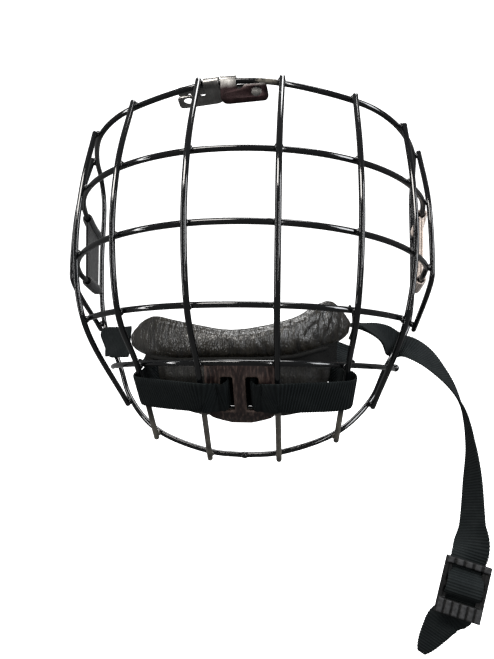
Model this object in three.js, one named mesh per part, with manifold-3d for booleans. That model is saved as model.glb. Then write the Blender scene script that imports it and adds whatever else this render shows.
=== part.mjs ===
// Ice hockey helmet face cage in its worn position: +Z up, the grille faces -Y, +X is the wearer's left.
// Lengths are in millimetres. The origin is the middle of the top of the rim, where the brow clips hang.
import * as THREE from "three";
import { mergeVertices } from "three/addons/utils/BufferGeometryUtils.js";
import Module from "manifold-3d";

// Driving dimensions
const WIRE_D = 3.1; // coated round steel wire
const CLEARANCE = 0.3; // kept between pieces that touch
const LAYER = WIRE_D + CLEARANCE; // centre distance of two crossing wires
const PLAN_HALF = 104.3; // half width of the ellipse that the upper bars follow in plan
const PLAN_BOW = 120; // depth of that ellipse
const CHIN_HALF = 91.3; // the same half width at the narrower chin bar
const TUBE_SIDES = 8;

const wasm = await Module();
wasm.setup();

const cage = new THREE.Group();
const vec = (x, y, z) => new THREE.Vector3(x, y, z);

// ---------- materials ----------
function material(color, roughness, metalness) {
  return new THREE.MeshStandardMaterial({ color, roughness, metalness });
}
const COATED_WIRE = material(0x101216, 0.25, 0.3);
const STEEL = material(0xa9a7a2, 0.3, 1);
const WEBBING = material(0x14171a, 0.85, 0);
const GREY_WEBBING = material(0x565453, 0.8, 0);
const PALE_BAND = material(0xcdb9ae, 0.8, 0);
const VINYL = material(0x4d4b44, 0.6, 0);
const BROWN_VINYL = material(0x3b2a28, 0.55, 0);
const FELT = material(0x2b2b2a, 0.95, 0);
const MOULDED = material(0x2c2c2e, 0.5, 0);

function add(name, geometry, surface) {
  const mesh = new THREE.Mesh(geometry, surface);
  mesh.name = name;
  cage.add(mesh);
  return mesh;
}

// ---------- wires ----------
const wireSection = new THREE.Shape().absarc(0, 0, WIRE_D / 2, 0, Math.PI * 2);

const paths = {}; // centre line of each wire, by name

function wire(name, points, steps) {
  const path = new THREE.CatmullRomCurve3(points, false, "centripetal");
  const options = { steps, curveSegments: TUBE_SIDES / 2, bevelEnabled: false, extrudePath: path };
  add(name, new THREE.ExtrudeGeometry(wireSection, options), COATED_WIRE);
  paths[name] = path;
  return path;
}

const mirrored = (point) => vec(-point.x, point.y, point.z);

// The rim: one rod bent round the face opening, butt welded under the chin.
const RIM_BUTT = CLEARANCE / 2;
const RIM_HALF = [
  vec(0, 0, 0),
  vec(20.6, 1.4, -1.2),
  vec(56.5, 14.3, -5),
  vec(71.5, 23.6, -7.4),
  vec(84, 37, -11),
  vec(96.8, 71, -12.8),
  vec(99.5, 88, -18),
  vec(99.4, 95.5, -32),
  vec(99.4, 95.5, -70),
  vec(98.6, 97, -98),
  vec(95.8, 97, -114),
  vec(80.2, 80, -140),
  vec(70.2, 69.3, -159.2),
  vec(49.4, 54, -177.6),
  vec(18.7, 50, -188.4),
];

function rimPoints() {
  const butt = vec(RIM_BUTT, 49.8, -190);
  const left = RIM_HALF.slice(1).map(mirrored).reverse();
  return [mirrored(butt), ...left, ...RIM_HALF, butt];
}

// Cross bars follow an ellipse in plan. rise is the slope of the bar's plane towards the back.
const BARS = {
  brow: { z: -46, front: -26, rise: 0, half: PLAN_HALF },
  eye: { z: -82, front: -31.4, rise: -0.035, half: PLAN_HALF },
  mouth: { z: -118, front: -22, rise: 0, half: PLAN_HALF },
  chin: { z: -142.6, front: 4.2, rise: 0.03, half: CHIN_HALF },
};

function onBar(bar, x) {
  const depth = PLAN_BOW * (1 - Math.sqrt(1 - (x / bar.half) ** 2));
  return vec(x, bar.front + depth, bar.z + bar.rise * depth);
}

function barArc(bar, reach, count) {
  const limit = Math.asin(reach / bar.half);
  const points = [];
  for (let i = 0; i < count; i += 1) {
    const angle = limit * ((2 * i) / (count - 1) - 1);
    points.push(onBar(bar, bar.half * Math.sin(angle)));
  }
  return points;
}

// The brow and eye bars turn back past the side guards and end against the rear of the rim.
const GUARD_X = { brow: 99.6, eye: 100.3 };
const TAILS = {
  brow: [vec(101.2, 68, -48.6), vec(101.2, 75, -51.8), vec(100.8, 83, -54.8), vec(99.7, 93.5, -57.6)],
  eye: [vec(100.2, 62, -87.5), vec(99.8, 72, -89), vec(99.5, 83, -90.5), vec(99.3, 94, -91.8)],
};

function barWithTails(name, bar, key, steps) {
  const arc = barArc(bar, GUARD_X[key], 13);
  const tail = TAILS[key];
  wire(name, [...tail.map(mirrored).reverse(), ...arc, ...tail], steps);
}

// Uprights lie on the bars' outer side. x is where each one crosses the rim, the bars and the rim again.
const UPRIGHTS = {
  inner: { top: 20.6, brow: 20.4, eye: 20.3, mouth: 19.8, chin: 19, bottom: 18.4 },
  middle: { top: 56.3, brow: 57.1, eye: 56.9, mouth: 55.5, chin: 53.1, bottom: 48.6 },
  outer: { top: 83.7, brow: 85.8, eye: 85.9, mouth: 81.2, bottom: 70 },
};
const TOP_END = 1; // how far an upright runs on past the rim's centre line
const BOTTOM_END = 3;

function onRim(rim, x, lower) {
  let best = null;
  for (let i = 0; i <= 1200; i += 1) {
    const point = rim.getPointAt(i / 1200);
    const rightRun = lower ? point.z < -120 : point.z > -16;
    if (rightRun && (!best || Math.abs(point.x - x) < Math.abs(best.x - x))) {
      best = point;
    }
  }
  return best;
}

function uprightPoints(rim, crossings) {
  const core = [onRim(rim, crossings.top, false)];
  for (const key of Object.keys(BARS)) {
    if (crossings[key]) {
      core.push(onBar(BARS[key], crossings[key]));
    }
  }
  core.push(onRim(rim, crossings.bottom, true));
  const outer = core.map((point, i) => {
    const along = core[Math.min(i + 1, core.length - 1)].clone().sub(core[Math.max(i - 1, 0)]);
    const across = vec(1, planSlope(point), 0);
    const normal = along.cross(across).normalize();
    return point.clone().addScaledVector(normal, normal.y > 0 ? -LAYER : LAYER);
  });
  const last = outer.length - 1;
  const up = outer[0].clone().sub(outer[1]).normalize();
  const down = outer[last].clone().sub(outer[last - 1]).normalize();
  outer[0].addScaledVector(up, TOP_END);
  outer[last].addScaledVector(down, BOTTOM_END);
  return outer;
}

// Slope of the wires' ellipse in plan at a point of the cage.
function planSlope(point) {
  const share = Math.min(Math.abs(point.x) / PLAN_HALF, 0.98);
  const slope = (PLAN_BOW / PLAN_HALF) * (share / Math.sqrt(1 - share ** 2));
  return Math.sign(point.x) * slope;
}

// A side guard stands outside the bars, from the rim's upper corner to its lower rear corner.
function guardPoints() {
  const brow = onBar(BARS.brow, GUARD_X.brow);
  const eye = onBar(BARS.eye, GUARD_X.eye);
  return [
    vec(100.4, 74, -9.5),
    vec(brow.x + LAYER, brow.y, brow.z),
    vec(eye.x + LAYER, eye.y - 1, eye.z + 1),
    vec(eye.x + LAYER - 0.3, eye.y, eye.z - 6),
    vec(101, 96, -111.5),
    vec(100, 102, -115.5),
  ];
}

function wires() {
  const rim = wire("rim_wire", rimPoints(), 110);
  barWithTails("bar_brow", BARS.brow, "brow", 54);
  barWithTails("bar_eye", BARS.eye, "eye", 54);
  wire("bar_mouth", barArc(BARS.mouth, 83, 11), 32);
  wire("bar_chin", barArc(BARS.chin, 86.3, 11), 32);
  for (const [key, crossings] of Object.entries(UPRIGHTS)) {
    const points = uprightPoints(rim, crossings);
    wire(`upright_${key}_left`, points, 26);
    wire(`upright_${key}_right`, points.map(mirrored), 26);
  }
  const guard = guardPoints();
  wire("side_guard_left", guard, 22);
  wire("side_guard_right", guard.map(mirrored), 22);
}

// ---------- booleans ----------
function solid(geometry) {
  const bare = geometry.clone();
  bare.deleteAttribute("normal");
  bare.deleteAttribute("uv");
  const merged = mergeVertices(bare);
  const vertProperties = new Float32Array(merged.attributes.position.array);
  const triVerts = new Uint32Array(merged.index.array);
  return new wasm.Manifold(new wasm.Mesh({ numProp: 3, vertProperties, triVerts }));
}

function toGeometry(manifold) {
  const mesh = manifold.getMesh();
  const geometry = new THREE.BufferGeometry();
  geometry.setAttribute("position", new THREE.BufferAttribute(mesh.vertProperties, 3));
  geometry.setIndex(new THREE.BufferAttribute(mesh.triVerts, 1));
  return geometry;
}

// ---------- brow clips ----------
// A steel strip folded over the top of the rim, with an arm to one side that a screw holds to the helmet.
const CLIP = { width: 8, plate: 1, inner: 2, arm: 20, armTop: 3.4, holeX: 14.2 };
const FRONT_LEAF = { notched: true, bottom: 12.8, holeZ: -7.4, hole: 5.2 };
const REAR_LEAF = { notched: false, bottom: 10.2, holeZ: -7.9, hole: 2.4 };
const CLIPS = [
  { name: "brow_clip_left", x: -6, swing: 3, flip: 1 },
  { name: "brow_clip_right", x: -14.8, swing: 80, flip: -1 },
];

function clipHook() {
  const outer = CLIP.inner + CLIP.plate;
  const leg = -3;
  const section = new THREE.Shape();
  section.moveTo(-outer, leg);
  section.lineTo(-CLIP.inner, leg);
  section.lineTo(-CLIP.inner, 0);
  section.absarc(0, 0, CLIP.inner, Math.PI, 0, true);
  section.lineTo(CLIP.inner, leg);
  section.lineTo(outer, leg);
  section.lineTo(outer, 0);
  section.absarc(0, 0, outer, 0, Math.PI, false);
  section.closePath();
  const geometry = new THREE.ExtrudeGeometry(section, {
    depth: CLIP.width,
    curveSegments: 6,
    bevelEnabled: false,
  });
  geometry.translate(0, 0, -CLIP.width / 2);
  const toYz = new THREE.Matrix4().makeBasis(vec(0, 1, 0), vec(0, 0, 1), vec(1, 0, 0));
  return geometry.applyMatrix4(toYz);
}

function clipLeaf(y, { notched, bottom, holeZ, hole }) {
  const half = CLIP.width / 2;
  const { arm, armTop, holeX } = CLIP;
  const leaf = new THREE.Shape();
  leaf.moveTo(-half, -1);
  leaf.lineTo(-half, -8);
  leaf.quadraticCurveTo(-half, -bottom, 0.5, -bottom);
  leaf.lineTo(arm - 2.5, -bottom + 0.4);
  leaf.quadraticCurveTo(arm, -bottom + 0.4, arm, -bottom + 3);
  leaf.lineTo(arm - 0.4, -armTop - 2.2);
  leaf.quadraticCurveTo(arm - 0.6, -armTop, arm - 3, -armTop);
  if (notched) {
    leaf.lineTo(9.5, -armTop);
    leaf.quadraticCurveTo(7.8, -armTop, 7.4, -armTop - 1.2);
    leaf.quadraticCurveTo(5, -7, half, -3.6);
  } else {
    leaf.lineTo(10.5, -armTop);
    leaf.lineTo(8.5, -1);
  }
  leaf.lineTo(half, -1);
  leaf.closePath();
  leaf.holes.push(new THREE.Path().absarc(holeX, holeZ, hole / 2, 0, Math.PI * 2));
  const geometry = new THREE.ExtrudeGeometry(leaf, {
    depth: CLIP.plate,
    curveSegments: 5,
    bevelEnabled: false,
  });
  const toXz = new THREE.Matrix4().makeBasis(vec(1, 0, 0), vec(0, 0, 1), vec(0, -1, 0));
  return geometry.applyMatrix4(toXz).translate(0, y, 0);
}

function browClips() {
  const front = clipLeaf(-CLIP.inner, FRONT_LEAF);
  const rear = clipLeaf(CLIP.inner + CLIP.plate, REAR_LEAF);
  const clip = toGeometry(solid(clipHook()).add(solid(front)).add(solid(rear)));
  for (const { name, x, swing, flip } of CLIPS) {
    const mesh = add(name, clip, STEEL);
    const at = topOfRim(x);
    mesh.matrixAutoUpdate = false;
    mesh.matrix.makeTranslation(at.point);
    mesh.matrix.multiply(at.turn);
    mesh.matrix.multiply(new THREE.Matrix4().makeRotationX(THREE.MathUtils.degToRad(swing)));
    mesh.matrix.multiply(new THREE.Matrix4().makeScale(flip, 1, 1));
  }
}

// The rim's centre and direction near its middle, at a distance x from it.
function topOfRim(x) {
  const rim = new THREE.CatmullRomCurve3(rimPoints(), false, "centripetal");
  const step = 3;
  const point = onRim(rim, x, false);
  const along = onRim(rim, x + step, false).sub(onRim(rim, x - step, false)).normalize();
  const back = vec(0, 0, 1).cross(along).normalize();
  const up = along.clone().cross(back);
  return { point, turn: new THREE.Matrix4().makeBasis(along, back, up) };
}

// ---------- webbing ----------
const WEBBING_W = 19;
const WEBBING_T = 1.4;
const TURN_SLACK = 0.3; // for a wire that is not quite straight across the webbing's width
const TURN_R = WIRE_D / 2 + CLEARANCE + WEBBING_T / 2 + TURN_SLACK;

// A flat strap along a route of { at, wide }: a point of its centre line and the direction of its width.
function strap(name, route, steps, halfWidth = () => WEBBING_W / 2) {
  const path = new THREE.CatmullRomCurve3(route.map((stop) => stop.at), false, "centripetal");
  const side = new THREE.CatmullRomCurve3(route.map((stop) => stop.wide.clone().normalize()));
  const geometry = new THREE.BoxGeometry(1, 1, 2, steps, 1, 1);
  const position = geometry.attributes.position;
  for (let i = 0; i < position.count; i += 1) {
    const t = THREE.MathUtils.clamp(position.getX(i) + 0.5, 0, 1);
    const along = path.getTangent(t);
    const width = side.getPoint(t);
    width.addScaledVector(along, -width.dot(along)).normalize();
    const face = width.clone().cross(along);
    const at = path.getPoint(t);
    at.addScaledVector(face, position.getY(i) * WEBBING_T);
    at.addScaledVector(width, position.getZ(i) * halfWidth(t));
    position.setXYZ(i, at.x, at.y, at.z);
  }
  return add(name, geometry, WEBBING);
}

const stop = (at, wide) => ({ at, wide });
const mirroredRoute = (route) => route.map(({ at, wide }) => stop(mirrored(at), mirrored(wide)));

// The point of a named wire at a height, on the wearer's left (side 1) or right (side -1).
function wirePoint(name, z, side) {
  const path = paths[name];
  const count = 900;
  let best = null;
  for (let i = 0; i <= count; i += 1) {
    const point = path.getPoint(i / count);
    if (point.x * side > 0 && (!best || Math.abs(point.z - z) < Math.abs(best.z - z))) {
      best = point;
    }
  }
  return best;
}

// A place on a wire, and the wire's mean direction across the width of webbing there.
function wireAt(name, z, side) {
  const reach = WEBBING_W * 0.36;
  const along = wirePoint(name, z - reach, side).sub(wirePoint(name, z + reach, side)).normalize();
  return { at: wirePoint(name, z, side), along };
}

// Stops of webbing that turns round a wire, from its front face (0 degrees) through each listed angle.
function turnRound(wireSpot, heading, angles, slack = 0) {
  const onward = heading.clone().addScaledVector(wireSpot.along, -heading.dot(wireSpot.along)).normalize();
  const front = onward.clone().cross(wireSpot.along);
  front.multiplyScalar(front.y > 0 ? -1 : 1);
  return angles.map((degrees) => {
    const angle = THREE.MathUtils.degToRad(degrees);
    const at = wireSpot.at.clone();
    at.addScaledVector(front, (TURN_R + slack) * Math.cos(angle));
    at.addScaledVector(onward, (TURN_R + slack) * Math.sin(angle));
    return stop(at, wireSpot.along);
  });
}

// ---------- side loops ----------
// A band folded round the turned-back ends of the brow and eye bars: two eyes joined by a double layer.
const LOOP = { width: 18, middle: 79, thick: 1.2, eye: WIRE_D / 2 + 0.5 };

function loopSection(height) {
  const outer = LOOP.eye + LOOP.thick;
  const neck = Math.asin(LOOP.thick / outer);
  const section = new THREE.Shape();
  section.absarc(0, height, outer, -Math.PI / 2 + neck, Math.PI * 1.5 - neck, false);
  section.absarc(0, 0, outer, Math.PI / 2 + neck, Math.PI * 2.5 - neck, false);
  section.closePath();
  for (const z of [0, height]) {
    section.holes.push(new THREE.Path().absarc(0, z, LOOP.eye, 0, Math.PI * 2, true));
  }
  return section;
}

// The x and z of a bar's turned-back end at a depth y.
function tailAt(name, y, side) {
  const path = paths[name];
  let best = null;
  for (let i = 0; i <= 1200; i += 1) {
    const point = path.getPoint(i / 1200);
    if (point.x * side > 0 && (!best || Math.abs(point.y - y) < Math.abs(best.y - y))) {
      best = point;
    }
  }
  return best;
}

function sideLoop(name, side) {
  const top = tailAt("bar_brow", LOOP.middle, side);
  const foot = tailAt("bar_eye", LOOP.middle, side);
  const height = top.z - foot.z;
  const geometry = new THREE.ExtrudeGeometry(loopSection(height), {
    depth: LOOP.width,
    steps: 3,
    curveSegments: 9,
    bevelEnabled: false,
  });
  const position = geometry.attributes.position;
  for (let i = 0; i < position.count; i += 1) {
    const y = LOOP.middle + LOOP.width / 2 - position.getZ(i);
    const z = position.getY(i);
    const share = THREE.MathUtils.clamp(z / height, 0, 1);
    const topHere = tailAt("bar_brow", y, side);
    const footHere = tailAt("bar_eye", y, side);
    const x = position.getX(i) + THREE.MathUtils.lerp(footHere.x, topHere.x, share);
    const lift = THREE.MathUtils.lerp(footHere.z, topHere.z - height, share);
    position.setXYZ(i, x, y, z + lift);
  }
  add(name, geometry, side > 0 ? PALE_BAND : GREY_WEBBING);
}

// ---------- chin cup ----------
// The pad is a padded lip that curves round the chin. Each row: x, height of its top edge, of its lower edge.
const PAD_EDGES = [
  [-71, -118, -132],
  [-61, -115, -135],
  [-50, -114, -137.5],
  [-38, -117.5, -139.8],
  [-20, -122.3, -140.3],
  [-5, -124.8, -140.3],
  [12, -122.5, -140],
  [28, -117, -138],
  [40, -108.5, -134],
  [48, -105.7, -131.5],
  [58, -111.5, -127],
];
const PAD = { left: 58.5, right: -71, thick: 15, front: 8.2 };
const CUP = { shell: 2.4, panel: 1.6, liner: 2.5, linerLift: -6.5, linerTop: 0.1 };
const BOW = { depth: 38, reach: 60 }; // how far back the pad and the cup curve, and at what x

const bowAt = (x) => BOW.depth * (x / BOW.reach) ** 2;

const PAD_BLUNT = 10; // higher is blunter

function padEdgesAt(x) {
  const rows = PAD_EDGES;
  const places = rows.map((row) => row[0]);
  const heights = rows.flatMap((row) => [row[1], row[2]]);
  const curve = new THREE.CubicInterpolant(places, heights, 2);
  const [top, foot] = curve.evaluate(THREE.MathUtils.clamp(x, rows[0][0], rows[rows.length - 1][0]));
  return { top, foot };
}

function chinPad() {
  const geometry = new THREE.SphereGeometry(1, 16, 30);
  geometry.rotateZ(-Math.PI / 2);
  const position = geometry.attributes.position;
  const middle = (PAD.left + PAD.right) / 2;
  const half = (PAD.left - PAD.right) / 2;
  for (let i = 0; i < position.count; i += 1) {
    const along = position.getX(i);
    const ring = Math.max(Math.sqrt(1 - along ** 2), 1e-6);
    const x = middle + half * (1.5 * along - 0.5 * along ** 3);
    const share = (x - middle) / half;
    const { top, foot } = padEdgesAt(x);
    const end = Math.sqrt(Math.max(1 - Math.abs(share) ** PAD_BLUNT, 0));
    const thick = (PAD.thick / 2) * end * (position.getY(i) / ring);
    const rise = ((top - foot) / 2) * end * (position.getZ(i) / ring);
    const depth = PAD.front + bowAt(x) + PAD.thick / 2;
    position.setXYZ(i, x, depth + thick, (top + foot) / 2 + rise);
  }
  add("chin_pad", geometry, VINYL);
}

// The cup's shell under the pad, as a surface: across runs from -1 to 1, down from 0 to 1.
const CUP_PROFILE = new THREE.SplineCurve([
  new THREE.Vector2(11.5, -142),
  new THREE.Vector2(14, -149.5),
  new THREE.Vector2(20, -157.5),
  new THREE.Vector2(27.5, -165),
  new THREE.Vector2(31.8, -168.6),
]);

function cupPoint(x, down, lift) {
  const here = CUP_PROFILE.getPoint(down);
  const slope = CUP_PROFILE.getTangent(down);
  const depth = here.x + bowAt(x);
  const turn = 2 * BOW.depth * (x / BOW.reach ** 2);
  const normal = vec(-turn * slope.y, slope.y, -slope.x).normalize();
  return vec(x, depth, here.y).addScaledVector(normal, lift);
}

function cupSheet(halfAt, columns, rows, outer, inner, top = 0) {
  const geometry = new THREE.BoxGeometry(2, 1, 1, columns, rows, 1);
  const position = geometry.attributes.position;
  for (let i = 0; i < position.count; i += 1) {
    const down = THREE.MathUtils.clamp(THREE.MathUtils.lerp(top, 1, 0.5 - position.getY(i)), top, 1);
    const x = position.getX(i) * halfAt(down);
    const lift = position.getZ(i) > 0 ? outer : inner;
    const point = cupPoint(x, down, lift);
    position.setXYZ(i, point.x, point.y, point.z);
  }
  return geometry;
}

const SLOT = { inner: 2.4, outer: 9.6, down: 0.5, length: 21.6 };

function slotCutter(x) {
  const box = new THREE.BoxGeometry(SLOT.outer - SLOT.inner, SLOT.length, 16);
  const at = cupPoint(0, SLOT.down, 0);
  box.rotateX(Math.PI / 4 + Math.PI / 2);
  box.translate(x, at.y, at.z);
  return solid(box);
}

function withSlots(sheet) {
  let body = solid(sheet);
  const middle = (SLOT.inner + SLOT.outer) / 2;
  for (const side of [-1, 1]) {
    body = body.subtract(slotCutter(side * middle));
  }
  return toGeometry(body);
}

const wingHalf = (down) => 47 * Math.sqrt(1 - (0.9 * down) ** 2.2);
const panelHalf = (down) => 17.5 * Math.sqrt(1 - Math.max(down - 0.8, 0) ** 2 * 14);

function chinCup() {
  chinPad();
  const outer = CUP.panel + CLEARANCE;
  const { linerLift, linerTop } = CUP;
  add("cup_shell", withSlots(cupSheet(wingHalf, 22, 8, 0, -CUP.shell)), VINYL);
  add("cup_panel", withSlots(cupSheet(panelHalf, 10, 8, outer, CLEARANCE)), BROWN_VINYL);
  const linerHalf = (down) => wingHalf(down) - 3;
  add("cup_liner", cupSheet(linerHalf, 18, 8, linerLift, linerLift - CUP.liner, linerTop), FELT);
}

// ---------- straps ----------
// A lower strap is held between the cup's shell and its liner, comes out of a slot, turns round the middle
// upright and goes back up to the end of the pad.
const THREADING = [
  [16, -5],
  [11.5, -5.2],
  [7.4, -4],
  [6, -1],
  [7.6, 2.6],
  [11, 3.6],
]; // x, and height above the cup's face, on the way out through a slot

function lowerStrap(slack) {
  const slope = vec(0, 0.72, -0.69);
  const inner = wireAt("upright_inner_left", -158.5, 1);
  const front = turnRound(inner, vec(1, 0, 0), [0])[0];
  const middle = wireAt("upright_middle_left", -154, 1);
  const turn = turnRound(middle, vec(1, 0.1, 0.2), [0, 45, 90, 135, 170], slack);
  return [
    ...THREADING.map(([x, lift]) => stop(cupPoint(x, SLOT.down, lift), slope)),
    front,
    ...turn,
    stop(vec(51.6, 38.5, -150), vec(-0.1, 0.62, -0.7)),
    stop(vec(51, 43.6, -144), vec(-0.5, 0.4, -0.5)),
    stop(vec(50.5, 48.5, -138.6), vec(-0.74, -0.4, -0.2)),
    stop(vec(50.8, 53.6, -132), vec(-0.76, -0.55, -0.05)),
    stop(vec(51, 55.6, -127), vec(-0.78, -0.6, 0)),
  ];
}

// An upper strap goes from the end of the pad round the rim's lower rear corner and back on itself.
function upperStrap() {
  const corner = wireAt("rim_wire", -125, -1);
  const turn = turnRound(corner, vec(-0.68, 0.73, 0), [0, 45, 90, 135, 180], 1);
  return [
    stop(vec(-71.8, 69, -126), corner.along),
    stop(vec(-80, 77, -125.6), corner.along),
    ...turn,
    stop(turn[4].at.clone().add(vec(3.2, -3.6, 3)), corner.along),
  ];
}

// ---------- the long strap and its slide ----------
// It leaves the left end of the pad, passes behind the rim and hangs down, turning over once on the way.
const RIM_LEAN = vec(-0.46, -0.52, -0.72); // the rim's direction where the strap passes behind it
const LONG_STRAP = [
  stop(vec(57.6, 58, -117.4), vec(0.63, -0.75, -0.15)),
  stop(vec(73.5, 78, -119.5), vec(0.1, -0.8, -0.5)),
  stop(vec(85.6, 93.6, -123.3), RIM_LEAN),
  stop(vec(91, 96.6, -124.9), RIM_LEAN),
  stop(vec(97, 94.9, -126.7), vec(-0.46, -0.6, -0.66)),
  stop(vec(105.2, 91, -132.6), vec(-0.45, -0.7, -0.52)),
  stop(vec(113.2, 87, -142), vec(-0.38, -0.85, -0.35)),
  stop(vec(118.8, 83, -151.2), vec(-0.3, -0.92, -0.2)),
  stop(vec(123.9, 76, -166.4), vec(-0.1, -1, 0)),
  stop(vec(125.6, 71, -184), vec(0.05, -1, 0)),
  stop(vec(124.9, 66, -203.4), vec(0.3, -0.9, 0)),
  stop(vec(123, 61, -226), vec(0.5, -0.85, -0.1)),
];

// The slide is a ladder frame. Its own axes: across, down and out towards the front; zero is its top middle.
const SLIDE = { width: 24, length: 29.4, thick: 2.6, rail: 2, top: 3.4, middle: 12.6, bar: 3, grip: 21.6 };
const SLIDE_TURN = new THREE.Matrix4().makeBasis(
  vec(0.962, 0, -0.272),
  vec(-0.27, -0.08, -0.96).normalize(),
  vec(0.022, -0.997, 0.077).normalize(),
);
SLIDE_TURN.setPosition(119.6, 54.5, -243.4);
const onSlide = (across, down, out) => vec(across, down, out).applyMatrix4(SLIDE_TURN);

function slideBlock(fromX, toX, fromDown, toDown, fromOut, toOut) {
  const box = new THREE.BoxGeometry(toX - fromX, toDown - fromDown, toOut - fromOut);
  box.translate((fromX + toX) / 2, (fromDown + toDown) / 2, (fromOut + toOut) / 2);
  return solid(box);
}

function slideBody() {
  const side = SLIDE.width / 2;
  const half = SLIDE.thick / 2;
  const rail = side - SLIDE.rail;
  let body = slideBlock(-side, side, 0, SLIDE.top, -half, half);
  body = body.add(slideBlock(-side, side, SLIDE.middle, SLIDE.middle + SLIDE.bar, -half, half));
  body = body.add(slideBlock(-side, side, SLIDE.grip, SLIDE.length, -half, half));
  for (const sign of [-1, 1]) {
    const edges = [sign * rail, sign * side].sort((a, b) => a - b);
    body = body.add(slideBlock(edges[0], edges[1], 0, SLIDE.length, -half, half));
  }
  const raised = [
    { count: 5, width: 3, from: 0.3, to: SLIDE.top },
    { count: 6, width: 2.6, from: SLIDE.grip + 0.4, to: SLIDE.length - 0.4 },
  ];
  for (const { count, width, from, to } of raised) {
    for (let i = 0; i < count; i += 1) {
      const x = side * ((2 * i + 1) / count - 1);
      body = body.add(slideBlock(x - width / 2, x + width / 2, from, to, half - 0.2, half + 0.9));
    }
  }
  return body;
}

const TAIL = [
  stop(vec(107, 59.5, -275), vec(0.9, -0.1, -0.42)),
  stop(vec(101.8, 61.5, -282.6), vec(0.86, -0.05, -0.5)),
  stop(vec(95.2, 64, -293.6), vec(0.8, 0, -0.6)),
];

// The strap threads the slide: behind its top bar, over its middle bar and behind its grip.
function longStrap() {
  const across = onSlide(1, 0, 0).sub(onSlide(0, 0, 0));
  const behind = -SLIDE.thick / 2 - CLEARANCE - WEBBING_T / 2 - 0.2;
  const over = -behind;
  const threaded = [
    [-6, behind * 0.9],
    [0.4, behind],
    [3.7, behind * 0.95],
    [7.6, 0],
    [11.4, over * 0.95],
    [SLIDE.middle + SLIDE.bar / 2, over],
    [16.8, over * 0.85],
    [18.7, 0],
    [20.8, behind * 0.95],
    [24, behind - 0.6],
    [29.5, behind - 2.4],
  ];
  const route = threaded.map(([down, out]) => stop(onSlide(0, down, out), across));
  route[0].wide = vec(0.93, -0.28, -0.25); // the strap is still turning as it reaches the slide
  return [...LONG_STRAP, ...route, ...TAIL];
}

// The strap's end is cut to a rounded point.
const TIP_START = 0.88;
function tapered(t) {
  const share = Math.max(t - TIP_START, 0) / (1 - TIP_START);
  return (WEBBING_W / 2) * Math.sqrt(1 - share ** 2 * 0.94);
}

wires();
browClips();
sideLoop("side_loop_left", 1);
sideLoop("side_loop_right", -1);
chinCup();
strap("strap_lower_left", lowerStrap(2.2), 45);
strap("strap_lower_right", mirroredRoute(lowerStrap(0.4)), 45);
strap("strap_upper_right", upperStrap(), 30);
strap("strap_long", longStrap(), 84, tapered);
const slide = add("strap_slide", toGeometry(slideBody()), MOULDED);
slide.matrixAutoUpdate = false;
slide.matrix.copy(SLIDE_TURN);

export default cage;
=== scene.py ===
"""Ice hockey helmet cage: the looks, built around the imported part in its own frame.

The frame is the part's: +Z up as worn, the grille faces -Y, +X is the wearer's left.
Shapes are worked out in millimetres, as the part is, and become metres when a mesh is made.
"""
import bisect
import math
import random

import bmesh
import bpy
from mathutils import Matrix, Vector, kdtree, noise


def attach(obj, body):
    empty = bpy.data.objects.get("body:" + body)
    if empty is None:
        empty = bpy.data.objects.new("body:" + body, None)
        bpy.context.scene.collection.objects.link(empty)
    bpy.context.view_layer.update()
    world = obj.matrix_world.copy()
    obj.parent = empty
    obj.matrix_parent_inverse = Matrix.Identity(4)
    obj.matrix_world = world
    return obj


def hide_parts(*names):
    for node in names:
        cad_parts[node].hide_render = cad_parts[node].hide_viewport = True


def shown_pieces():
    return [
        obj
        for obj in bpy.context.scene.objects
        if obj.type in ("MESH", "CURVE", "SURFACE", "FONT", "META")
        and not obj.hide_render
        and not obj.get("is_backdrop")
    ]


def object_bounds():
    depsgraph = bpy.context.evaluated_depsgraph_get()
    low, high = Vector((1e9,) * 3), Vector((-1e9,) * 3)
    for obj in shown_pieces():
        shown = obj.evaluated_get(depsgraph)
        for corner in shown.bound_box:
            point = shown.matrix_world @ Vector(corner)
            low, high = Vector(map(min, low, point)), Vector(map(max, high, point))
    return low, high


MM = 0.001
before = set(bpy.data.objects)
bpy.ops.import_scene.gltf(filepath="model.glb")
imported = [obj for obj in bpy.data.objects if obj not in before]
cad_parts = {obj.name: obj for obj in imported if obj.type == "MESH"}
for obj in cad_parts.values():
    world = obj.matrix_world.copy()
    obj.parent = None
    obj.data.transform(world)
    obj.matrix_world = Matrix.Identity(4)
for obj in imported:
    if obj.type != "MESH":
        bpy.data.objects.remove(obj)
cad_low, cad_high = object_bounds()
random.seed(7)

X, Y, Z = Vector((1, 0, 0)), Vector((0, 1, 0)), Vector((0, 0, 1))


def vec(x, y, z):
    return Vector((x, y, z))


def mirrored(point):
    return vec(-point.x, point.y, point.z)


def mix(a, b, share):
    return a + (b - a) * share


def clamp(value, low=0.0, high=1.0):
    return max(low, min(high, value))


# ---------- camera ----------
def make_camera():
    data = bpy.data.cameras.new("camera")
    data.lens = 35.54
    data.sensor_width = 36
    data.clip_start = 0.01
    camera = bpy.data.objects.new("camera", data)
    yaw, pitch, roll = 0.0916, 0.1175, 0.0127
    turn = Matrix.Rotation(yaw, 3, "Z") @ Matrix.Rotation(math.pi / 2 + pitch, 3, "X")
    turn = turn @ Matrix.Rotation(roll, 3, "Z")
    camera.matrix_world = Matrix.Translation((0.0335, -0.3105, -0.1636)) @ turn.to_4x4()
    bpy.context.scene.collection.objects.link(camera)
    bpy.context.scene.camera = camera


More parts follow.
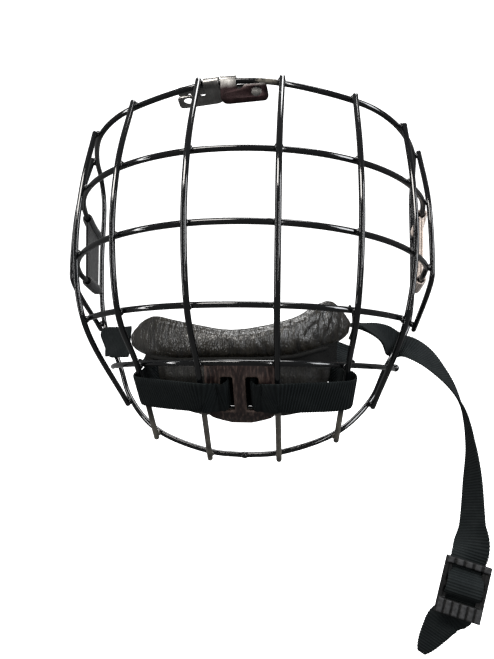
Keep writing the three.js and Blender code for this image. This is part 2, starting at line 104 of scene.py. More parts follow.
# ---------- curves ----------
class Path:
    """A centripetal Catmull-Rom curve through points."""

    def __init__(self, points, per_span=24):
        self.points = points
        count = per_span * (len(points) - 1)
        self.times = [i / count for i in range(count + 1)]
        self.samples = [self.at(t) for t in self.times]
        self.lengths = [0.0]
        for a, b in zip(self.samples, self.samples[1:]):
            self.lengths.append(self.lengths[-1] + (b - a).length)
        self.length = self.lengths[-1]

    def at(self, t):
        last = len(self.points) - 1
        place = clamp(t) * last
        i = min(int(place), last - 1)
        start, end = self.points[i], self.points[i + 1]
        before = self.points[i - 1] if i > 0 else 2 * start - end
        after = self.points[i + 2] if i + 2 <= last else 2 * end - start
        gap = [max((b - a).length, 1e-6) ** 0.5 for a, b in ((before, start), (start, end), (end, after))]
        leave = (start - before) / gap[0] - (end - before) / (gap[0] + gap[1]) + (end - start) / gap[1]
        arrive = (end - start) / gap[1] - (after - start) / (gap[1] + gap[2]) + (after - end) / gap[2]
        leave, arrive = leave * gap[1], arrive * gap[1]
        s = place - i
        cubic = 2 * start - 2 * end + leave + arrive
        square = -3 * start + 3 * end - 2 * leave - arrive
        return ((cubic * s + square) * s + leave) * s + start

    def tangent(self, t):
        step = 1e-4
        return (self.at(min(t + step, 1)) - self.at(max(t - step, 0))).normalized()

    def time_at(self, length):
        i = clamp(bisect.bisect_right(self.lengths, length) - 1, 0, len(self.times) - 2)
        span = max(self.lengths[i + 1] - self.lengths[i], 1e-9)
        share = clamp((length - self.lengths[i]) / span)
        return mix(self.times[i], self.times[i + 1], share)

    def spaced(self, spacing, start=0.0, end=None):
        """Places along the curve at about this spacing: pairs of length and curve time."""
        end = self.length if end is None else end
        count = max(int(round((end - start) / spacing)), 2)
        lengths = [mix(start, end, i / count) for i in range(count + 1)]
        return [(length, self.time_at(length)) for length in lengths]


# ---------- meshes ----------
def skin(bm, rings, stations, around):
    """Closes rings of points into a capped tube. UVs are metres along it and metres round it."""
    uv = bm.loops.layers.uv.verify()
    made = [[bm.verts.new(p * MM) for p in ring] for ring in rings]
    count = len(rings[0])
    for i in range(len(rings) - 1):
        for j in range(count):
            k = (j + 1) % count
            face = bm.faces.new((made[i][j], made[i][k], made[i + 1][k], made[i + 1][j]))
            corners = ((i, j), (i, j + 1), (i + 1, j + 1), (i + 1, j))
            for loop, (a, b) in zip(face.loops, corners):
                loop[uv].uv = (stations[a] * MM, around[b] * MM)
    bm.faces.new(list(reversed(made[0])))
    bm.faces.new(made[-1])


def add_tube(bm, path, radius, sides=16):
    """A round wire along a path, with domed ends."""
    dome = radius * 0.8
    stations = []
    for step in range(5):
        angle = math.pi / 2 * (1 - step / 5)
        stations.append((dome * (1 - math.sin(angle)), math.cos(angle)))
    body = path.spaced(1.6, dome, path.length - dome)
    ends = [(path.length - s, scale) for s, scale in reversed(stations)]
    places = stations + [(length, 1.0) for length, _ in body] + ends
    turns = [2 * math.pi * j / sides for j in range(sides)]
    rings = []
    direction = path.tangent(0)
    normal = direction.orthogonal().normalized()
    for length, scale in places:
        t = path.time_at(length)
        tangent = path.tangent(t)
        normal = direction.rotation_difference(tangent) @ normal
        normal = (normal - tangent * normal.dot(tangent)).normalized()
        direction = tangent
        side = tangent.cross(normal)
        size = radius * max(scale, 0.06)
        centre = path.at(t)
        rings.append([centre + size * (math.cos(a) * normal + math.sin(a) * side) for a in turns])
    around = [2 * math.pi * radius * j / sides for j in range(sides + 1)]
    skin(bm, rings, [length for length, _ in places], around)


def add_blob(bm, centre, axes):
    """A rounded lump whose half sizes are the lengths of three perpendicular axes."""
    turn = Matrix([list(axis) for axis in axes]).transposed().to_4x4()
    place = Matrix.Translation(centre * MM) @ Matrix.Scale(MM, 4) @ turn
    bmesh.ops.create_icosphere(bm, subdivisions=3, radius=1, matrix=place)


def link(mesh, name):
    obj = bpy.data.objects.new(name, mesh)
    bpy.context.scene.collection.objects.link(obj)
    return obj


def make_object(bm, name, sharp_angle=50):
    bmesh.ops.recalc_face_normals(bm, faces=bm.faces)
    mesh = bpy.data.meshes.new(name)
    bm.to_mesh(mesh)
    bm.free()
    shade(mesh, sharp_angle)
    return link(mesh, name)


def shade(mesh, sharp_angle):
    mesh.shade_smooth()
    mesh.set_sharp_from_angle(angle=math.radians(sharp_angle))


def apply_modifiers(obj):
    view = bpy.context.evaluated_depsgraph_get()
    mesh = bpy.data.meshes.new_from_object(obj.evaluated_get(view))
    obj.modifiers.clear()
    obj.data = mesh


def mark_wear_and_reflection(mesh, wear_and_reflection_at):
    """Stores on each point, from 0 to 1, how scuffed or tarnished it is, and on the lower uprights how strong
    their painted reflection is, for the materials to read.
    """
    wear_and_reflection = mesh.attributes.new("wear_and_reflection", "FLOAT", "POINT")
    wear_and_reflection.data.foreach_set("value", [wear_and_reflection_at(vertex.co / MM) for vertex in mesh.vertices])


def dress(obj, slot, node, body="root"):
    """Gives a finished piece its surface, hides the CAD node that it stands for, and hangs it on the body
    that it moves with.
    """
    obj.data.materials.clear()
    obj.data.materials.append(SURFACES[slot])
    if node:
        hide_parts(node)
    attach(obj, body)
    return obj


# ---------- material nodes ----------
class Surface:
    """Builds one procedural material: each method adds a node and returns its output socket."""

    def __init__(self, name, uv=False):
        self.material = bpy.data.materials.new(name)
        self.material.use_nodes = True
        self.tree = self.material.node_tree
        self.tree.nodes.clear()
        coordinates = self.tree.nodes.new("ShaderNodeTexCoord")
        self.place = coordinates.outputs["UV" if uv else "Object"]
        self.object_place = coordinates.outputs["Object"]

    def node(self, kind, inputs=(), **settings):
        node = self.tree.nodes.new(kind)
        for key, value in settings.items():
            setattr(node, key, value)
        for key, value in dict(inputs).items():
            if isinstance(value, bpy.types.NodeSocket):
                self.tree.links.new(value, node.inputs[key])
            else:
                node.inputs[key].default_value = value
        return node

    def math(self, operation, a, b=0.0, clamped=False):
        inputs = {0: a, 1: b}
        return self.node("ShaderNodeMath", inputs, operation=operation, use_clamp=clamped).outputs[0]

    def stretched(self, scale):
        return self.node("ShaderNodeMapping", {"Vector": self.place, "Scale": scale}).outputs[0]

    def noise(self, scale, detail=3.0, place=None):
        inputs = {"Vector": place or self.place, "Scale": scale, "Detail": detail}
        return self.node("ShaderNodeTexNoise", inputs).outputs[0]

    def cells(self, scale, place):
        inputs = {"Vector": place, "Scale": scale}
        return self.node("ShaderNodeTexVoronoi", inputs, feature="DISTANCE_TO_EDGE").outputs["Distance"]

    def axis(self, name):
        return self.node("ShaderNodeSeparateXYZ", {0: self.place}).outputs[name]

    def wear_and_reflection(self):
        return self.node("ShaderNodeAttribute", attribute_name="wear_and_reflection").outputs["Fac"]

    def ramp(self, value, stops):
        """Maps a value to grey levels or colours; each stop is (position, colour)."""
        node = self.node("ShaderNodeValToRGB", {0: value})
        elements = node.color_ramp.elements
        while len(elements) < len(stops):
            elements.new(0.5)
        for element, (position, colour) in zip(elements, stops):
            element.position = position
            element.color = (*colour, 1) if hasattr(colour, "__len__") else (colour, colour, colour, 1)
        return node.outputs[0]

    def blend(self, share, a, b):
        """A colour between a and b."""
        colours = [c if isinstance(c, bpy.types.NodeSocket) else (*c, 1) for c in (a, b)]
        inputs = {0: share, 6: colours[0], 7: colours[1]}
        return self.node("ShaderNodeMix", inputs, data_type="RGBA").outputs[2]

    def between(self, value, low, high, soft):
        """1 where the value lies between low and high, falling to 0 over soft."""
        rise = self.math("DIVIDE", self.math("SUBTRACT", value, low - soft / 2), soft, True)
        fall = self.math("DIVIDE", self.math("SUBTRACT", high + soft / 2, value), soft, True)
        return self.math("MULTIPLY", rise, fall)

    def finish(self, colour, roughness, height=None, depth=0.0002, strength=1.0, metallic=0.0, **shader):
        inputs = {"Base Color": colour, "Roughness": roughness, "Metallic": metallic}
        inputs.update({key.replace("_", " "): value for key, value in shader.items()})
        if height is not None:
            bump = self.node("ShaderNodeBump", {"Height": height, "Distance": depth, "Strength": strength})
            inputs["Normal"] = bump.outputs[0]
        shader_node = self.node("ShaderNodeBsdfPrincipled", inputs)
        output = self.tree.nodes.new("ShaderNodeOutputMaterial")
        self.tree.links.new(shader_node.outputs[0], output.inputs[0])
        return self.material


def coated_wire():
    """Black dip coating, a little uneven, scuffed to the metal by the brow clip; the lower ends of the inner
    and middle uprights carry a painted reflection.
    """
    s = Surface("coated_wire")
    ragged = s.noise(420, 4)
    ragged_x = s.math("ADD", s.axis("X"), s.math("MULTIPLY", s.math("SUBTRACT", ragged, 0.5), 0.006))
    on_rim_top = s.between(s.axis("Z"), -0.004, 0.02, 0.001)
    patch = s.math("MULTIPLY", s.between(ragged_x, 0.0085, 0.0185, 0.0012), on_rim_top)
    # Painted reflection on the lower ends of the inner and middle uprights.
    foot_reflection = s.wear_and_reflection()
    foot_reflection = s.math("MULTIPLY", foot_reflection, s.ramp(s.noise(150, 3), [(0.3, 0.25), (0.6, 0.85)]))
    bare_and_reflection = s.math("ADD", s.math("MULTIPLY", patch, s.ramp(ragged, [(0.35, 0.1), (0.6, 0.9)])), foot_reflection, True)
    black = s.blend(s.noise(90, 2), (0.0016, 0.0018, 0.0022), (0.0035, 0.0038, 0.0044))
    colour = s.blend(bare_and_reflection, black, (0.13, 0.12, 0.10))
    roughness = s.ramp(s.noise(260, 3), [(0.3, 0.06), (0.7, 0.12)])
    height = s.math("ADD", s.noise(330, 3), s.math("MULTIPLY", bare_and_reflection, -0.6))
    return s.finish(colour, roughness, height, 0.00008, 0.25, Specular_IOR_Level=0.5)


def clip_steel():
    """Plated spring steel: rolled grain along the strip, and a dark red-brown tarnish on one front leaf."""
    s = Surface("clip_steel", uv=True)
    grain = s.noise(60, 4, s.stretched((60, 3, 1)))
    blotch = s.noise(170, 4)
    down = s.math("ADD", s.axis("Y"), s.math("MULTIPLY", s.math("SUBTRACT", blotch, 0.5), 0.003))
    depth = s.math("DIVIDE", s.math("SUBTRACT", -0.0008, down), 0.004, True)
    tarnished = s.wear_and_reflection()
    tarnished = s.math("MULTIPLY", s.math("POWER", depth, 0.6), tarnished)
    steel = s.ramp(s.math("ADD", s.math("MULTIPLY", grain, 0.5), s.math("MULTIPLY", blotch, 0.5)),
                   [(0.3, (0.07, 0.068, 0.066)), (0.5, (0.16, 0.156, 0.15)), (0.7, (0.30, 0.295, 0.285))])
    tarnish = s.blend(blotch, (0.0025, 0.0009, 0.0012), (0.009, 0.0032, 0.0036))
    colour = s.blend(tarnished, steel, tarnish)
    roughness = s.ramp(blotch, [(0.3, 0.26), (0.7, 0.42)])
    return s.finish(colour, roughness, grain, 0.00004, 0.5, metallic=0.9)


def webbing_weave(s, pitch, warp):
    """Height of a plain weave: cross ribs at the pitch, broken into cells by the warp threads; the same ribs
    and cells come back as a painted shade for the colour.
    """
    along, across = s.axis("X"), s.axis("Y")
    ribs = s.math("SINE", s.math("MULTIPLY", along, 2 * math.pi / pitch))
    threads = s.math("SINE", s.math("MULTIPLY", across, 2 * math.pi / warp))
    cell = s.math("MULTIPLY", ribs, threads)
    fuzz = s.noise(2600, 2)
    height = s.math("ADD", s.math("MULTIPLY", ribs, 0.7), s.math("MULTIPLY", cell, 0.15))
    shown = s.math("ADD", s.math("MULTIPLY", ribs, 0.75), s.math("MULTIPLY", cell, 0.25))
    return s.math("ADD", height, s.math("MULTIPLY", fuzz, 0.35)), shown, fuzz


def webbing():
    """Black strap webbing, a little dusty on its threads, its hollows darkened by painted shade and its
    raised threads lightened by painted highlight.
    """
    s = Surface("webbing", uv=True)
    height, cell, fuzz = webbing_weave(s, RIB_PITCH * MM, 0.0013)
    dust = s.noise(130, 4, s.object_place)
    raised = s.math("MULTIPLY", s.math("ADD", cell, 1), 0.5)
    # The weave's hollows are painted darker and its raised threads lighter: painted shade and highlight.
    shaded_thread = s.blend(raised, (0.0022, 0.0034, 0.0038), (0.0085, 0.0112, 0.0120))
    dusty = s.math("MULTIPLY", s.ramp(dust, [(0.45, 0.0), (0.8, 0.35)]), fuzz)
    colour = s.blend(dusty, shaded_thread, (0.03, 0.034, 0.034))
    return s.finish(colour, 0.8, height, 0.00022, 0.8, Specular_IOR_Level=0.12)


def band(name, dark, light):
    """A softer, finer woven band, soiled in patches, with painted shade in the hollows of its weave."""
    s = Surface(name, uv=True)
    height, cell, _ = webbing_weave(s, 0.0009, 0.0012)
    # Painted shade in the weave's hollows, painted highlight on its raised threads.
    shaded_thread = s.blend(s.math("MULTIPLY", s.math("ADD", cell, 1), 0.5), dark, light)
    soiled = s.ramp(s.noise(150, 4, s.object_place), [(0.35, 0.78), (0.65, 1.0)])
    inputs = {0: 1.0, 6: shaded_thread, 7: soiled}
    colour = s.node("ShaderNodeMix", inputs, data_type="RGBA", blend_type="MULTIPLY").outputs[2]
    return s.finish(colour, 0.82, height, 0.00018, 0.7, Sheen_Weight=0.15)


def vinyl(name, dark, light, grain_scale, rough):
    """Soft grained vinyl: a cracked grain of small cells, pulled into short upright wrinkles, painted darker
    in their valleys and lighter on their ridges as painted shade and highlight.
    """
    s = Surface(name)
    grain = s.ramp(s.cells(grain_scale, s.stretched((1.5, 1, 0.6))), [(0.02, 0.0), (0.2, 1.0)])
    lines = s.noise(400, 2, s.stretched((1.9, 0.7, 0.25)))
    creases = s.ramp(lines, [(0.34, 0.0), (0.58, 1.0)])
    broad = s.noise(60, 3, s.stretched((0.6, 1.0, 1.5)))
    # Random broad tone, plus painted shade in the creases' valleys and painted highlight on their ridges.
    tone_and_crease_shade = s.math("ADD", s.math("MULTIPLY", creases, 0.55), s.math("MULTIPLY", broad, 0.45))
    colour = s.ramp(tone_and_crease_shade, [(0.25, dark), (0.85, light)])
    height = s.math("ADD", s.math("MULTIPLY", grain, 0.3), s.math("MULTIPLY", creases, 0.7))
    roughness = s.ramp(tone_and_crease_shade, [(0.25, rough + 0.15), (0.6, rough)])
    return s.finish(colour, roughness, height, 0.00028, 1.0, Specular_IOR_Level=0.6)


def brown_leather():
    """Worn red-brown leather with short upright hairs, lighter tan along its cut edges."""
    s = Surface("brown_leather", uv=True)
    hairs = s.noise(900, 4, s.stretched((1, 0.22, 1)))
    blotch = s.noise(130, 3)
    browns = [(0.34, (0.004, 0.0016, 0.0015)), (0.52, (0.015, 0.0065, 0.006)), (0.66, (0.075, 0.05, 0.042))]
    base = s.ramp(hairs, browns)
    edge = s.wear_and_reflection()
    lightened = s.math("MULTIPLY", edge, s.ramp(hairs, [(0.3, 0.35), (0.65, 1.0)]), True)
    colour = s.blend(s.math("MULTIPLY", lightened, 0.8), base, (0.13, 0.09, 0.075))
    roughness = s.ramp(blotch, [(0.3, 0.42), (0.7, 0.62)])
    return s.finish(colour, roughness, hairs, 0.0003, 0.8, Specular_IOR_Level=0.4)


def liner_felt():
    """Black felt with short fibres."""
    s = Surface("liner_felt")
    fibres = s.noise(1500, 4, s.stretched((1, 0.5, 1)))
    colour = s.blend(fibres, (0.003, 0.003, 0.003), (0.014, 0.014, 0.0135))
    return s.finish(colour, 0.95, fibres, 0.0004, 0.9, Specular_IOR_Level=0.1)


def moulded_plastic():
    """Black moulding with a fine texture, rubbed grey on its raised ribs."""
    s = Surface("moulded_plastic")
    fine = s.noise(2200, 2)
    edge = s.wear_and_reflection()
    rub = s.math("MULTIPLY", edge, s.ramp(s.noise(600, 3), [(0.3, 0.4), (0.65, 1.0)]), True)
    colour = s.blend(rub, (0.003, 0.003, 0.0031), (0.034, 0.0345, 0.036))
    return s.finish(colour, 0.5, fine, 0.00008, 0.5, Specular_IOR_Level=0.15)


SURFACES = {}


def make_surfaces():
    """One material for each of the record's slots."""
    SURFACES.update(
        coated_wire=coated_wire(),
        clip_steel=clip_steel(),
        webbing=webbing(),
        pale_band=band("pale_band", (0.55, 0.45, 0.39), (0.86, 0.76, 0.69)),
        grey_band=band("grey_band", (0.010, 0.010, 0.0105), (0.028, 0.028, 0.029)),
        pad_vinyl=vinyl("pad_vinyl", (0.0022, 0.002, 0.0017), (0.016, 0.0138, 0.0102), 620, 0.29),
        cup_vinyl=vinyl("cup_vinyl", (0.002, 0.0019, 0.0016), (0.012, 0.011, 0.0085), 700, 0.5),
        brown_leather=brown_leather(),
        liner_felt=liner_felt(),
        moulded_plastic=moulded_plastic(),
    )


# ---------- wires ----------
WIRE_D = 3.1
CLEARANCE = 0.3
LAYER = WIRE_D + CLEARANCE
PLAN_HALF = 104.3
PLAN_BOW = 120
CHIN_HALF = 91.3

RIM_HALF = [
    vec(0, 0, 0),
    vec(20.6, 1.4, -1.2),
    vec(56.5, 14.3, -5),
    vec(71.5, 23.6, -7.4),
    vec(84, 37, -11),
    vec(96.8, 71, -12.8),
    vec(99.5, 88, -18),
    vec(99.4, 95.5, -32),
    vec(99.4, 95.5, -70),
    vec(98.6, 97, -98),
    vec(95.8, 97, -114),
    vec(80.2, 80, -140),
    vec(70.2, 69.3, -159.2),
    vec(49.4, 54, -177.6),
    vec(18.7, 50, -188.4),
]
BUTT = vec(CLEARANCE / 2, 49.8, -190)

BARS = {
    "brow": dict(z=-46, front=-26, rise=0, half=PLAN_HALF),
    "eye": dict(z=-82, front=-31.4, rise=-0.035, half=PLAN_HALF),
    "mouth": dict(z=-118, front=-22, rise=0, half=PLAN_HALF),
    "chin": dict(z=-142.6, front=4.2, rise=0.03, half=CHIN_HALF),
}
GUARD_X = {"brow": 99.6, "eye": 100.3}
TAILS = {
    "brow": [vec(101.2, 68, -48.6), vec(101.2, 75, -51.8), vec(100.8, 83, -54.8), vec(99.7, 93.5, -57.6)],
    "eye": [vec(100.2, 62, -87.5), vec(99.8, 72, -89), vec(99.5, 83, -90.5), vec(99.3, 94, -91.8)],
}
UPRIGHTS = {
    "inner": dict(top=20.6, brow=20.4, eye=20.3, mouth=19.8, chin=19, bottom=18.4),
    "middle": dict(top=56.3, brow=57.1, eye=56.9, mouth=55.5, chin=53.1, bottom=48.6),
    "outer": dict(top=83.7, brow=85.8, eye=85.9, mouth=81.2, bottom=70),
}
TOP_END = 1
BOTTOM_END = 3


def rim_path():
    left = [mirrored(p) for p in reversed(RIM_HALF[1:])]
    return Path([mirrored(BUTT), *left, *RIM_HALF, BUTT], 60)


def on_bar(bar, x):
    depth = PLAN_BOW * (1 - math.sqrt(1 - (x / bar["half"]) ** 2))
    return vec(x, bar["front"] + depth, bar["z"] + bar["rise"] * depth)


def bar_arc(bar, reach, count):
    limit = math.asin(reach / bar["half"])
    angles = [limit * (2 * i / (count - 1) - 1) for i in range(count)]
    return [on_bar(bar, bar["half"] * math.sin(angle)) for angle in angles]


def bar_with_tails(key):
    tail = TAILS[key]
    return Path([*[mirrored(p) for p in reversed(tail)], *bar_arc(BARS[key], GUARD_X[key], 13), *tail])


def on_rim(rim, x, lower):
    right_run = [p for p in rim.samples if (p.z < -120 if lower else p.z > -16)]
    return min(right_run, key=lambda p: abs(p.x - x)).copy()


def plan_slope(point):
    """Slope of the wires' ellipse in plan at a point of the cage."""
    share = min(abs(point.x) / PLAN_HALF, 0.98)
    slope = (PLAN_BOW / PLAN_HALF) * (share / math.sqrt(1 - share ** 2))
    return math.copysign(slope, point.x)


def upright_points(rim, crossings):
    """An upright lies on the outer side of the bars and of the rim at both its ends."""
    core = [on_rim(rim, crossings["top"], False)]
    core += [on_bar(BARS[key], crossings[key]) for key in BARS if key in crossings]
    core.append(on_rim(rim, crossings["bottom"], True))
    outer = []
    for i, point in enumerate(core):
        along = core[min(i + 1, len(core) - 1)] - core[max(i - 1, 0)]
        normal = along.cross(vec(1, plan_slope(point), 0)).normalized()
        outer.append(point + normal * (-LAYER if normal.y > 0 else LAYER))
    outer[0] += (outer[0] - outer[1]).normalized() * TOP_END
    outer[-1] += (outer[-1] - outer[-2]).normalized() * BOTTOM_END
    return outer


def guard_points():
    brow, eye = on_bar(BARS["brow"], GUARD_X["brow"]), on_bar(BARS["eye"], GUARD_X["eye"])
    return [
        vec(100.4, 74, -9.5),
        vec(brow.x + LAYER, brow.y, brow.z),
        vec(eye.x + LAYER, eye.y - 1, eye.z + 1),
        vec(eye.x + LAYER - 0.3, eye.y, eye.z - 6),
        vec(101, 96, -111.5),
        vec(100, 102, -115.5),
    ]


def wire_paths():
    rim = rim_path()
    paths = {
        "rim_wire": rim,
        "bar_brow": bar_with_tails("brow"),
        "bar_eye": bar_with_tails("eye"),
        "bar_mouth": Path(bar_arc(BARS["mouth"], 83, 11)),
        "bar_chin": Path(bar_arc(BARS["chin"], 86.3, 11)),
    }
    for key, crossings in UPRIGHTS.items():
        points = upright_points(rim, crossings)
        paths[f"upright_{key}_left"] = Path(points)
        paths[f"upright_{key}_right"] = Path([mirrored(p) for p in points])
    guard = guard_points()
    paths["side_guard_left"] = Path(guard)
    paths["side_guard_right"] = Path([mirrored(p) for p in guard])
    return paths


def crossings_of(path, other):
    """Where one wire lies on another: the middle of the contact and both directions."""
    step = 0.8
    places = other.spaced(step)
    tree = kdtree.KDTree(len(places))
    for i, (_, t) in enumerate(places):
        tree.insert(other.at(t), i)
    tree.balance()
    found, best = [], None
    for _, t in path.spaced(step):
        here = path.at(t)
        there, _, gap = tree.find(here)
        if gap < LAYER + 1:
            if best is None or gap < best[0]:
                best = (gap, (here + there) / 2, path.tangent(t), there - here)
        elif best:
            found.append(best[1:])
            best = None
    return found + ([best[1:]] if best else [])


def add_weld(bm, middle, along, across, spread=1.85, depth=1.3):
    """The flattened bead between two crossed wires, under their coating."""
    out = across.normalized()
    side = along.cross(out).normalized()
    lean = random.uniform(-0.25, 0.25)
    first = (along * math.cos(lean) + side * math.sin(lean)).normalized()
    second = out.cross(first).normalized()
    size = spread * random.uniform(0.92, 1.12)
    add_blob(bm, middle, (first * size, second * size, out * depth))


def make_wires(paths):
    carriers = [name for name in paths if name.startswith(("upright", "side_guard"))]
    others = {name: [n for n in paths if n != name and n not in carriers] for name in carriers}
    for name in ("bar_brow", "bar_eye", "bar_mouth", "bar_chin"):
        others[name] = ["rim_wire"]
    for name, path in paths.items():
        bm = bmesh.new()
        add_tube(bm, path, WIRE_D / 2)
        for other in others.get(name, []):
            for middle, along, across in crossings_of(path, paths[other]):
                add_weld(bm, middle, along, across)
        if name == "rim_wire":
            add_blob(bm, vec(0, 49.8, -190), (X * 2.4, Y * 1.9, Z * 1.9))
        if name == "bar_chin":
            add_blob(bm, path.at(0.995) + vec(0.6, 0, 0.4), (X * 2.2, Y * 2.1, Z * 2.3))
        obj = make_object(bm, f"{name}_visual")
        # The inner and middle uprights carry a painted reflection on their lower ends.
        lightened = name.startswith(("upright_inner", "upright_middle"))
        mark_wear_and_reflection(obj.data, painted_foot_reflection if lightened else not_worn)
        dress(obj, "coated_wire", name)


def painted_foot_reflection(point):
    """A painted reflection lightens the lower ends of the inner and middle uprights."""
    return clamp((-164 - point.z) / 6) * 0.9


def not_worn(point):
    return 0.0


# ---------- brow clips ----------
CLIP = dict(width=8, plate=1, inner=2, arm=20, hole_x=14.2)
FRONT_LEAF = dict(notched=True, arm_top=3.4, bottom=12.8, hole_z=-7.4, hole=5.2)
REAR_LEAF = dict(notched=False, arm_top=2.4, bottom=10.2, hole_z=-8.6, hole=1.8)
CLIPS = [
    dict(side="left", x=-6, swing=3, flip=1, tarnish=1.0),
    dict(side="right", x=-14.8, swing=80, flip=-1, tarnish=0.0),
]
FOLD_R = CLIP["inner"] + CLIP["plate"] / 2
FOLD_LENGTH = math.pi * FOLD_R


def quadratic(start, control, end, count=7):
    """Points after start on a quadratic curve."""
    times = [(i + 1) / count for i in range(count)]
    return [start * (1 - t) ** 2 + control * 2 * t * (1 - t) + end * t * t for t in times]


def leaf_outline(leaf):
    """One leaf from its left top corner round to its right top corner, in x and z."""
    half, arm, bottom, top = CLIP["width"] / 2, CLIP["arm"], -leaf["bottom"], -leaf["arm_top"]

    def at(x, z):
        return Vector((x, z))

    points = [at(-half, 0), at(-half, -8)]
    points += quadratic(points[-1], at(-half, bottom), at(0.5, bottom))
    points.append(at(arm - 2.5, bottom + 0.4))
    points += quadratic(points[-1], at(arm, bottom + 0.4), at(arm, bottom + 3))
    points.append(at(arm - 0.4, top - 2.2))
    points += quadratic(points[-1], at(arm - 0.6, top), at(arm - 3, top))
    if leaf["notched"]:
        points.append(at(9.5, top))
        points += quadratic(points[-1], at(7.8, top), at(7.4, top - 1.2))
        points += quadratic(points[-1], at(5, -7), at(half, -3.6))
    else:
        points += [at(10.5, top), at(8.5, -1), at(half, -1)]
    points.append(at(half, 0))
    return points


def clip_blank():
    """The clip's flat pattern: the front leaf below zero, the fold, then the rear leaf above it."""
    front = leaf_outline(FRONT_LEAF)
    rear = [Vector((p.x, FOLD_LENGTH - p.y)) for p in reversed(leaf_outline(REAR_LEAF))]
    hole_x = CLIP["hole_x"]
    outlines = [front + rear]
    turns = [2 * math.pi * i / 28 for i in range(28)]
    for leaf, centre in ((FRONT_LEAF, FRONT_LEAF["hole_z"]), (REAR_LEAF, FOLD_LENGTH - REAR_LEAF["hole_z"])):
        size = leaf["hole"] / 2
        outlines.append([Vector((hole_x + size * math.cos(a), centre + size * math.sin(a))) for a in turns])
    return outlines


def plate_from(outlines, thickness, edge):
    """A flat plate with holes and softened edges, as a bmesh in millimetres."""
    data = bpy.data.curves.new("plate", "CURVE")
    data.dimensions = "2D"
    data.fill_mode = "BOTH"
    data.extrude = thickness / 2 - edge
    data.bevel_depth = edge
    data.bevel_resolution = 2
    data.offset = -edge
    for outline in outlines:
        spline = data.splines.new("POLY")
        spline.points.add(len(outline) - 1)
        spline.use_cyclic_u = True
        for point, corner in zip(spline.points, outline):
            point.co = (corner.x, corner.y, 0, 1)
    shape = link(data, "plate")
    view = bpy.context.evaluated_depsgraph_get()
    mesh = bpy.data.meshes.new_from_object(shape.evaluated_get(view))
    bpy.data.objects.remove(shape)
    bm = bmesh.new()
    bm.from_mesh(mesh)
    bmesh.ops.remove_doubles(bm, verts=bm.verts, dist=1e-4)
    return bm


def folded(point):
    """A point of the flat blank after the strip is folded over the rim."""
    radius = FOLD_R + point.z
    angle = clamp(point.y / FOLD_R, 0, math.pi)
    if point.y <= 0:
        return vec(point.x, -radius, point.y)
    if point.y >= FOLD_LENGTH:
        return vec(point.x, radius, FOLD_LENGTH - point.y)
    return vec(point.x, -radius * math.cos(angle), radius * math.sin(angle))


def top_of_rim(rim, x):
    """The rim's centre and turn near its middle."""
    step = 3
    along = (on_rim(rim, x + step, False) - on_rim(rim, x - step, False)).normalized()
    back = Z.cross(along).normalized()
    up = along.cross(back)
    turn = Matrix((along, back, up)).transposed().to_4x4()
    return Matrix.Translation(on_rim(rim, x, False)) @ turn


def make_clips(rim):
    for clip in CLIPS:
        bm = plate_from(clip_blank(), CLIP["plate"], 0.16)
        cuts = [FOLD_LENGTH * i / 18 for i in range(19)] + [-1, -2, -4, FOLD_LENGTH + 2]
        for cut in cuts:
            everything = [*bm.verts, *bm.edges, *bm.faces]
            bmesh.ops.bisect_plane(bm, geom=everything, plane_co=(0, cut, 0), plane_no=(0, 1, 0))
        uv = bm.loops.layers.uv.verify()
        for face in bm.faces:
            for loop in face.loops:
                loop[uv].uv = (loop.vert.co.x * MM, loop.vert.co.y * MM)
        place = top_of_rim(rim, clip["x"]) @ Matrix.Rotation(math.radians(clip["swing"]), 4, "X")
        place = place @ Matrix.Diagonal((clip["flip"], 1, 1, 1))
        for vertex in bm.verts:
            vertex.co = (place @ folded(vertex.co)) * MM
        obj = make_object(bm, f"brow_clip_{clip['side']}_visual", 35)
        mark_wear_and_reflection(obj.data, lambda point: clip["tarnish"])
        dress(obj, "clip_steel", f"brow_clip_{clip['side']}", f"clip_{clip['side']}")


# ---------- webbing ----------
WEBBING_W = 19
WEBBING_T = 1.4
RIB_PITCH = 1.5
TURN_R = WIRE_D / 2 + CLEARANCE + WEBBING_T / 2 + 0.3
TURN_SLACK = dict(left=2.2, right=0.4)


def webbing_section(half, thick, columns=11):
    """Across and through offsets round a strap's section, with rounded selvedges."""
    top = []
    for i in range(columns):
        across = half * math.sin(math.pi / 2 * (2 * i / (columns - 1) - 1))
        share = abs(across) / half
        through = thick / 2 * (1 - max(share - 0.9, 0) / 0.1 * 0.55)
        top.append((across, through))
    return top + [(across, -through) for across, through in reversed(top)]


def strap_mesh(route, half_width=lambda t: WEBBING_W / 2):
    """A woven strap along stops of (place, width direction), with a cross rib at every pitch."""
    path = Path([at for at, _ in route], 40)
    sides = Path([wide.normalized() for _, wide in route], 40)
    bm = bmesh.new()
    rings, stations = [], []
    for length, t in path.spaced(RIB_PITCH / 5):
        along = path.tangent(t)
        wide = sides.at(t)
        wide = (wide - along * wide.dot(along)).normalized()
        face = wide.cross(along)
        rib = math.cos(2 * math.pi * length / RIB_PITCH)
        section = webbing_section(half_width(t) - 0.12 + 0.12 * rib, WEBBING_T * (0.87 + 0.13 * rib))
        centre = path.at(t)
        rings.append([centre + wide * across + face * through for across, through in section])
        stations.append(length)
    section = webbing_section(WEBBING_W / 2, WEBBING_T)
    around = [across + WEBBING_W / 2 for across, _ in section] + [0]
    skin(bm, rings, stations, around)
    return bm, path


def wire_point(path, z, side):
    run = [p for p in path.samples if p.x * side > 0]
    return min(run, key=lambda p: abs(p.z - z)).copy()


def wire_at(path, z, side):
    """A place on a wire, and its mean direction across the width of webbing there."""
    reach = WEBBING_W * 0.36
    along = (wire_point(path, z - reach, side) - wire_point(path, z + reach, side)).normalized()
    return wire_point(path, z, side), along


